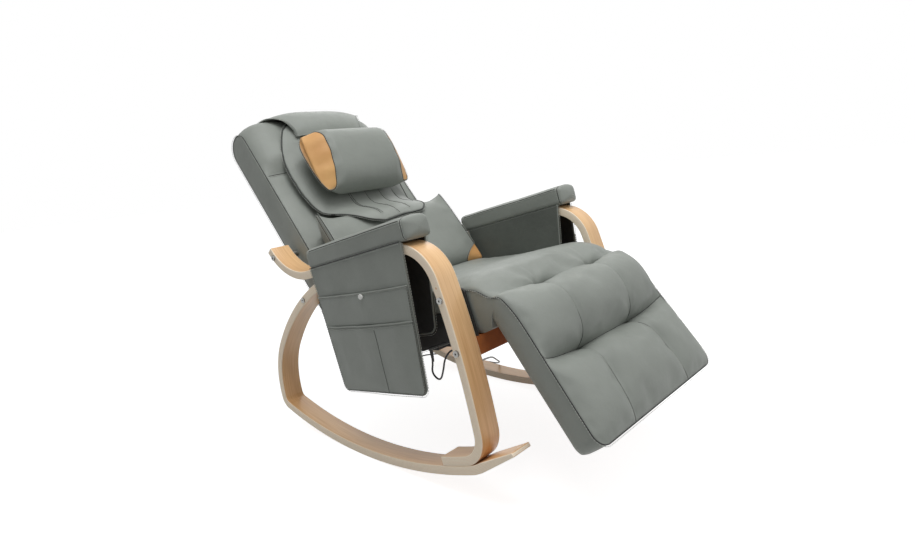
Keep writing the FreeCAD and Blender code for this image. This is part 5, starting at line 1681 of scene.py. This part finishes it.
@dataclass(frozen=True)
class ArmRest:
    """Padded sleeve on a wooden arm with a hanging outer panel, two pockets and an inner panel."""

    name: str
    side: float
    middle: float = 0.300
    half: float = 0.040
    nose: float = 0.070
    rear: float = -0.350
    tail: float = 0.016
    height: float = 0.050
    ring: float = 0.052
    section: Pair = (0.32, 0.36)
    nose_powers: Pair = (2.2, 0.5)
    tail_powers: Pair = (3.0, 1 / 3.5)
    nose_puff: Triple = (0.02, 0.014, 0.010)
    ring_pinch: Pair = (0.05, 0.004)
    crown: float = 0.005
    waves: float = 0.0006
    wave_from: float = 0.2
    seam_ends: Pair = (0.018, 0.004)
    seam_points: tuple[tuple[str, int], ...] = (("outer", 7), ("inner", 29))
    fill: float = 0.7
    rows: tuple[int, int, int] = (10, 60, 22)
    points: int = 72
    hang_from: float = 0.002
    tilt: float = 0.018
    tilt_from: float = 0.38
    tilt_grown: float = 0.25
    binding_sink: float = 0.0015
    band_proud: float = 0.0035
    thread_proud: Triple = (0.0002, 0.0003, 0.0004)

    def dress(self) -> None:
        """Make the sleeve, then what hangs from it."""
        self.sleeve()
        grid = self.panel(OUTER)
        line = grid[0] + self.outward * self.band_proud
        seam(f"{self.name}_band_seam", line, self.outward, Sewn.BAND_SEAM)
        for pocket in POCKETS:
            self.pocket(pocket)
        self.panel(INNER)

    @property
    def outward(self) -> Array:
        """Direction away from the seat."""
        return np.array([self.side, 0.0, 0.0])

    def at(self, x: Real, ahead: Array, up: Array) -> Array:
        """Points at a distance from the chair's middle plane, along the arm and over it."""
        return world(self.side * np.asarray(x), ARM.at(ahead, up))

    def sleeve(self) -> None:
        """Closed pad: a rounded box section carried along the arm, drawn in at the nose and the rear."""
        tail_rows, body_rows, nose_rows = self.rows
        start = self.rear + self.tail
        nose = self.ring + (self.nose - self.ring) * np.sin(np.linspace(0.0, np.pi / 2, nose_rows))
        tail = self.rear + self.tail * (1.0 - np.sin(np.linspace(np.pi / 2, 0.0, tail_rows)))
        ahead = np.concatenate([tail, np.linspace(start, self.ring, body_rows)[1:-1], nose])
        turn = around(self.points)
        x, up = (np.sign(part) * np.abs(part) ** power
                 for part, power in zip((np.cos(turn), np.sin(turn)), self.section))
        close = np.ones_like(ahead)
        for past, powers in ((ramp(ahead, self.ring, self.nose), self.nose_powers),
                             (ramp(ahead, start, self.rear), self.tail_powers)):
            close = close * (1.0 - past ** powers[0]) ** powers[1]
        swell, middle, width = self.nose_puff
        puff = 1.0 + swell * np.exp(-((ahead - self.ring - middle) / width) ** 2)
        pinch, width = self.ring_pinch
        size = (close * (puff - pinch * well(ahead - self.ring, width)))[:, None]
        wide = self.half * x * size
        crown = self.crown * (1.0 - x ** 2) * (up > 0)
        rise = self.height / 2 + (self.height / 2 * up + crown) * size
        rise = rise + ripple(ahead[:, None], wide, self.waves, seed=1.7) * (up > self.wave_from)
        grid = self.at(self.middle + wide, ahead[:, None], rise)
        cushion(f"{self.name}_arm_sleeve", [Patch(grid, loop_cols=True)], [f"{self.name}_arm_pad"])
        ring = grid[int(np.argmin(np.abs(ahead - self.ring)))]
        seam(f"{self.name}_nose_seam", ring, unit(ring - ring.mean(axis=0)), Sewn.NOSE_SEAM, closed=True)
        body = (ahead > self.rear + self.seam_ends[0]) & (ahead < self.ring - self.seam_ends[1])
        core = self.at(self.middle, ahead[body], np.array(self.height / 2))
        for title, spot in self.seam_points:
            line = grid[body, spot]
            seam(f"{self.name}_{title}_arm_seam", line, unit(line - core), Sewn.PLAIN_SEAM)

    def lean(self, across: Array) -> Array:
        """How far a hem lies below a line parallel to the arm, at shares across from the rear edge."""
        return self.tilt * (across - self.tilt_from)

    def panel(self, panel: Panel) -> Array:
        """Hang a panel with a bound edge; the outer hem leans. Gives the grid of the good side."""
        fall = panel.fall()
        share = (fall / panel.drop)[:, None]
        fore, aft = panel.edges(fall)
        across = np.linspace(0.0, 1.0, SHEET_COLUMNS)
        ahead = aft[:, None] + (fore - aft)[:, None] * across
        sunk = self.lean(across) * ramp(share, 0.0, self.tilt_grown) * (panel is OUTER)
        grid = self.at(panel.x + panel.bent(share, across), ahead, self.hang_from - fall[:, None] - sunk)
        name = f"{self.name}_{panel.title}_panel"
        wide, low = (front - rear for front, rear in zip(panel.front, panel.rear))
        area = min(panel.drop * (wide + low) / 2, wide * panel.drop)
        good = self.outward * panel.facing
        hang(f"{name}_sheet", grid, good, [name], area=area,
             front=panel.leather)
        rim = rim_of(grid) - good * self.binding_sink
        seam(f"{name}_binding", rim, good, Sewn.PANEL_BINDING)
        return grid

    def pocket(self, pocket: Pocket) -> None:
        """Sew a pocket to the outer panel, with its hem and stitches."""
        fall = np.linspace(pocket.mouth, pocket.bottom, pocket.rows)
        fore, aft = OUTER.edges(fall)
        across = np.linspace(-1.0, 1.0, SHEET_COLUMNS)
        half = (fore - aft)[:, None] / 2 - pocket.edge_inset
        ahead = (fore + aft)[:, None] / 2 + half * across
        deep = pocket.bottom - pocket.mouth
        down = (fall - pocket.mouth)[:, None] / deep
        sag = pocket.mouth_sag * (1.0 - across ** 2) * (1.0 - down)
        sag = sag + self.lean(across / 2 + 0.5) * np.minimum(1.0, fall / POCKETS[0].mouth)[:, None]
        grid = self.at(pocket.x + pocket.stand(down, across), ahead, -fall[:, None] - sag)
        name = f"{self.name}_{pocket.tier}_pocket"
        wide, mean = float((fore - aft).max()), float((fore - aft).mean())
        hang(f"{name}_sheet", grid, self.outward,
             [name], pocket.thickness, (mean - pocket.allowance) * deep)
        low, edge, high = (self.outward * proud for proud in self.thread_proud)
        seam(f"{name}_hem", grid[0] + low, self.outward, Sewn.POCKET_HEM)
        seam(f"{name}_hem_stitch", grid[1] + high, self.outward, Sewn.PALE_ROW)
        seam(f"{name}_edge_stitch", rim_of(grid) + edge, self.outward, Sewn.DARK_ROW)
        if pocket.divider is not None:
            column = int(np.argmin(np.abs(across - pocket.divider)))
            seam(f"{name}_middle_seam", grid[2:, column] + high, self.outward, Sewn.DIVIDER)


# seat skirt, hardware and lead

@dataclass(frozen=True)
class SeatSkirtAndShade:
    """Dark dust cover that hangs along both sides of the seat base, deeper towards the back; its top, over
    the seat's side wall, is painted shade.
    """

    along: Triple = (-0.500, -0.262, -0.150)
    depths: Triple = (0.100, 0.094, 0.066)
    # The top sits just under the seat line, so the dark sheet covers the seat's side wall: painted shade
    # there.
    below: float = 0.012
    falls: Triple = (0.2612, 0.2600, 0.2530)
    wave: Pair = (0.0012, 38.0)
    thickness: float = 0.0016
    flat: Pair = (0.350, 0.100)
    rows: int = 14

    def dress(self) -> None:
        """Hang one on each side, tucked in at its hem."""
        along = np.linspace(self.along[0], self.along[-1], SHEET_COLUMNS)
        share = np.linspace(0.0, 1.0, self.rows)[:, None]
        deep = np.interp(along, self.along, self.depths)
        line = SEAT.at(along, -self.below - share * deep)
        size, rate = self.wave
        x = np.interp(share, (0.0, 0.5, 1.0), self.falls) + size * share * np.sin(rate * along)
        for name, side in SIDES.items():
            grid, outward = world(side * x, line), np.array([side, 0.0, 0.0])
            hang(f"{name}_seat_skirt_and_shade", grid, outward, [], self.thickness,
                 self.flat[0] * float(deep.mean()), LINING)
            seam(f"{name}_skirt_hem", grid[-1], outward, Sewn.SKIRT_HEM)


@dataclass(frozen=True)
class Lead:
    """Mains lead: from the control box under the seat, over the far rocker and on the floor to its coil."""

    diameter: float = 0.005
    length: float = 1.83
    coil_middle: Pair = (0.120, 0.400)
    coil_radius: float = 0.028
    turns: int = 2
    per_turn: int = 16
    rise: float = 0.0054
    butt: float = 0.084
    plug_length: float = 0.034
    plug_radius: float = 0.014
    plug_places: Row = (0.0, 0.06, 0.30, 0.5, 0.72, 0.96, 1.0)
    plug_sizes: Row = (0.34, 0.52, 0.80, 0.78, 0.97, 1.0, 0.95)
    plug_crisp: float = 50.0
    pin: Triple = (0.019, 0.002, 0.019)
    pin_root: float = 0.002
    on_floor: float = 0.003
    coil_start: float = 0.25
    tail: Pair = (0.020, -0.002)
    relief_ends: Pair = (0.0050, 0.0031)
    relief_ribs: Pair = (0.0003, 5.0)
    tie_half: Pair = (0.0038, 0.0078)
    tie_height: float = 0.0083
    tie_across: Row = (-0.004, -0.0036, 0.0036, 0.004, 0.004, -0.004)
    tie_sizes: Row = (0.92, 1.0, 1.0, 0.92, 0.90, 0.90)
    tie_points: int = 24
    route: tuple[Triple, ...] = (
        (-0.185, 0.1683, 0.2746), (-0.186, 0.1725, 0.2449), (-0.188, 0.164, 0.212), (-0.190, 0.196, 0.196),
        (-0.191, 0.212, 0.228), (-0.189, 0.220, 0.264), (-0.180, 0.242, 0.290), (-0.162, 0.266, 0.274),
        (-0.128, 0.256, 0.246), (-0.082, 0.226, 0.221), (-0.032, 0.192, 0.199), (0.020, 0.156, 0.178),
        (0.074, 0.120, 0.158), (0.128, 0.085, 0.138), (0.180, 0.051, 0.117), (0.228, 0.019, 0.092),
        (0.272, -0.010, 0.066), (0.312, -0.036, 0.044), (0.346, -0.062, 0.024), (0.368, -0.094, 0.007),
        (0.372, -0.138, 0.003), (0.370, -0.192, 0.003), (0.372, -0.248, 0.003), (0.370, -0.302, 0.003),
        (0.358, -0.354, 0.003), (0.326, -0.398, 0.003), (0.278, -0.424, 0.003), (0.222, -0.434, 0.003),
        (0.176, -0.432, 0.003), (0.134, -0.429, 0.003))

    def control_points(self) -> Array:
        """Points of the one spline: the route, the coil's turns and the end in the plug."""
        route = np.array(self.route)
        free = world(route[:, 0], route[:, 1:])
        turn = np.linspace(0.0, self.turns, self.turns * self.per_turn + 1)
        ring = self.coil_radius * heading(360.0 * (turn + self.coil_start)) + self.coil_middle
        coil = np.column_stack([ring, self.on_floor + self.rise * turn])
        leaves = self.coil_middle[1] + self.coil_radius
        tail = [[self.butt + past, leaves, self.plug_radius] for past in self.tail]
        return np.concatenate([free, coil, tail])

    def dress(self) -> None:
        """Make the lead, its strain relief, the coil's tie and the plug."""
        points = self.control_points()
        curve = bpy.data.curves.new("mains_lead", "CURVE")
        curve.dimensions, curve.bevel_depth, curve.bevel_resolution = "3D", self.diameter / 2, 3
        curve.use_fill_caps = True
        spline = curve.splines.new("NURBS")
        spline.points.add(len(points) - 1)
        weighted = np.column_stack([points, np.ones(len(points))])
        spline.points.foreach_set("co", weighted.astype(np.float32).ravel())
        spline.order_u, spline.use_endpoint_u, spline.resolution_u = 3, True, 8
        curve.materials.append(Palette.CORD.value.material())
        lead = bpy.data.objects.new("mains_lead", curve)
        bpy.context.scene.collection.objects.link(lead)
        settle(lead, stands_for=["power_lead", "lead_coil"])
        ends = [self.relief(points), self.tie(), *self.plug()]

    def relief(self, points: Array) -> Piece:
        """Tapered, ribbed sleeve where the lead leaves the control box."""
        share = np.linspace(0.0, 1.0, 22)
        path = points[0] + (points[1] - points[0]) * share[:, None]
        deep, ribs = self.relief_ribs
        radius = np.interp(share, (0.0, 1.0), self.relief_ends) + deep * np.cos(2 * np.pi * ribs * share)
        patches = tube(path, radius, ACROSS, sides=16)
        return settle(build("lead_strain_relief", patches, [Palette.BLACK.value]))

    def tie(self) -> Piece:
        """Strap round the coil's turns."""
        turn = around(self.tie_points)
        deep, tall = self.tie_half
        ring = np.stack([np.zeros_like(turn), deep * np.cos(turn), tall * np.sin(turn)], axis=-1)
        spot = np.array([self.coil_middle[0], self.coil_middle[1] - self.coil_radius, self.tie_height])
        sizes, across = (np.array(part)[:, None, None] for part in (self.tie_sizes, self.tie_across))
        grid = spot + ring * sizes + across * ACROSS
        patches = [Patch(grid, loop_rows=True, loop_cols=True)]
        return settle(build("coil_tie", patches, [Palette.BLACK.value]))

    def plug(self) -> list[Piece]:
        """Round moulded plug with a waist for the fingers, and its two pins."""
        share = np.linspace(0.0, 1.0, 30)
        spot = np.array([self.butt, self.coil_middle[1] + self.coil_radius, self.plug_radius])
        path = spot - share[:, None] * self.plug_length * ACROSS
        radius = self.plug_radius * np.interp(share, self.plug_places, self.plug_sizes)
        body = build("plug_body", tube(path, radius, UPWARD, sides=28), [Palette.BLACK.value])
        sharpen(body, self.plug_crisp)
        settle(body, stands_for=["lead_plug"])
        length, thick, gap = self.pin
        run = self.plug_length + np.linspace(-self.pin_root, length, 8)
        patches = []
        for way in (-0.5, 0.5):
            line = spot + [0.0, way * gap, 0.0] - run[:, None] * ACROSS
            patches += tube(line, thick, UPWARD, sides=14)
        pins = settle(build("plug_pins", patches, [Palette.BOLT.value]))
        return [body, pins]


SNAP_RINGS = np.array([0.0, 0.3, 0.55, 0.68, 0.74, 0.84, 0.94, 1.0, 0.97])
SNAP_LIFTS = np.array([0.0021, 0.0020, 0.0016, 0.0010, 0.0012, 0.0024, 0.0022, 0.0010, -0.0030])
SNAP_SINK = 0.0025
SNAP_POINTS = 40


def pocket_snaps() -> None:
    """Snap heads on the upper pockets: a domed cap in a rolled rim, turned about the snap's axis."""
    low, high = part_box("pocket_snaps")
    middle = np.array([-(low.y + high.y) / 2, (low.z + high.z) / 2])
    patches = domes(middle, (high.z - low.z) / 2, SNAP_RINGS, high.x - SNAP_SINK + SNAP_LIFTS, SNAP_POINTS)
    snaps = build("snap_heads", patches, [Palette.WHITE.value], closed=False)
    settle(snaps, stands_for=["pocket_snaps"])


def hardware() -> None:
    """Give each shown CAD node the finish of its slot."""
    by_slot = {"bolt_steel": Palette.BOLT, "motor_steel": Palette.MOTOR, "black_steel": Palette.COATED,
               "rail_wood": Palette.RAIL, "white_plastic": Palette.WHITE, "black_plastic": Palette.BLACK,
               "grey_leather": Palette.GREY, "grey_cushion": Palette.GREY, "dark_lining": Palette.LINING,
               "bent_wood": Palette.VENEER}
    slots = {row["node"]: row["material_slot"] for row in frame["record"]["subparts"]}
    for name, node in frame["nodes"].items():
        node.data.materials.clear()
        node.data.materials.append(by_slot[slots[name]].value.material())


# studio

def point(thing: Piece, right: Array, back: Array, place: Sequence[float]) -> None:
    """Link a camera or lamp at its place, by unit vectors to its right and against its line of sight."""
    turn = np.eye(4)
    turn[:3] = np.stack([right, np.cross(back, right), back, place], axis=-1)
    thing.matrix_world = Matrix(turn.tolist())
    bpy.context.scene.collection.objects.link(thing)


@dataclass(frozen=True)
class Lamp:
    """Square soft lamp that looks at the chair."""

    name: str
    place: Triple
    size: float
    power: float
    target: Triple = (0.0, -0.1, 0.45)

    def set_up(self) -> None:
        """Make the lamp."""
        data = bpy.data.lights.new(self.name, "AREA")
        data.shape, data.size, data.energy = "SQUARE", self.size, self.power
        back = unit(np.array(self.place) - self.target)
        point(bpy.data.objects.new(self.name, data), unit(np.cross(UPWARD, back)), back, self.place)


@dataclass(frozen=True)
class Studio:
    """Photographer's set: camera, soft lamps, pale floor and white surround."""

    eye: Triple = (-1.1856, -1.2633, 0.7723)
    back: Triple = (-0.7015, -0.6830, 0.2033)
    right: Triple = (0.6800, -0.7269, -0.0957)
    focal_pixels: float = 601.6
    image_width: float = 915.0
    sensor: float = 36.0
    lamps: tuple[Lamp, ...] = (
        Lamp("key", (-0.4, -0.6, 3.1), 2.0, 60.0), Lamp("fill", (0.6, -2.8, 1.7), 2.4, 13.0),
        Lamp("rim", (1.8, 1.6, 2.4), 2.0, 15.0))
    floor_radius: float = 14.0
    floor_level: float = -0.0004
    floor_grid: tuple[int, int] = (12, 96)
    daylight: float = 0.30
    white: float = 1.0

    def set_up(self) -> None:
        """Make the camera, the lamps, the floor and the surround."""
        self.camera()
        for lamp in self.lamps:
            lamp.set_up()
        self.floor()
        self.surround()
        bpy.context.scene.view_settings.view_transform = "Standard"

    def camera(self) -> None:
        """Camera at the photograph's place, its lens from the focal length in pixels."""
        data = bpy.data.cameras.new("camera")
        data.sensor_fit, data.sensor_width = "HORIZONTAL", self.sensor
        data.lens = self.sensor * self.focal_pixels / self.image_width
        back = unit(np.array(self.back))
        right = unit(np.array(self.right) - back * (np.array(self.right) @ back))
        thing = bpy.data.objects.new("camera", data)
        point(thing, right, back, self.eye)
        bpy.context.scene.camera = thing

    def floor(self) -> None:
        """Round pale floor under the chair."""
        rows, count = self.floor_grid
        disc = np.linspace(0.0, self.floor_radius, rows)[:, None, None] * heading(np.degrees(around(count)))
        grid = np.concatenate([disc, np.full((rows, count, 1), self.floor_level)], axis=-1)
        patches = [Patch(grid[:, ::-1], loop_cols=True)]
        build("studio_floor", patches, [Palette.FLOOR.value], closed=False)

    def surround(self) -> None:
        """White surround, plain daylight for the chair and full white for the camera and reflections."""
        sky = bpy.data.worlds.new("surround")
        sky.use_nodes = True
        bpy.context.scene.world = sky
        tree = Nodes(sky.node_tree)
        seen = tree.seen_by("Is Camera Ray", "Is Glossy Ray", "Is Transmission Ray")
        level = tree.add("ShaderNodeMapRange", {"Value": seen, "To Min": self.daylight, "To Max": self.white})
        tree.feed(sky.node_tree.nodes["Background"], {"Strength": level.outputs[0], "Color": (*EVEN, 1.0)})


def main() -> None:
    """Build the chair piece by piece, then the set round it."""
    logging.basicConfig(level=logging.INFO, format="%(name)s %(message)s")
    hardware()
    Studio().set_up()
    Lead().dress()
    WOOD.dress()
    SeatCover().dress()
    SeatSkirtAndShade().dress()
    BackCushion().dress()
    HeadFlap().dress()
    TopStrap().dress()
    for pillow in PILLOWS:
        pillow.dress()
    for name, side in SIDES.items():
        ArmRest(name, side).dress()
    pocket_snaps()


if __name__ == "__main__":
    main()
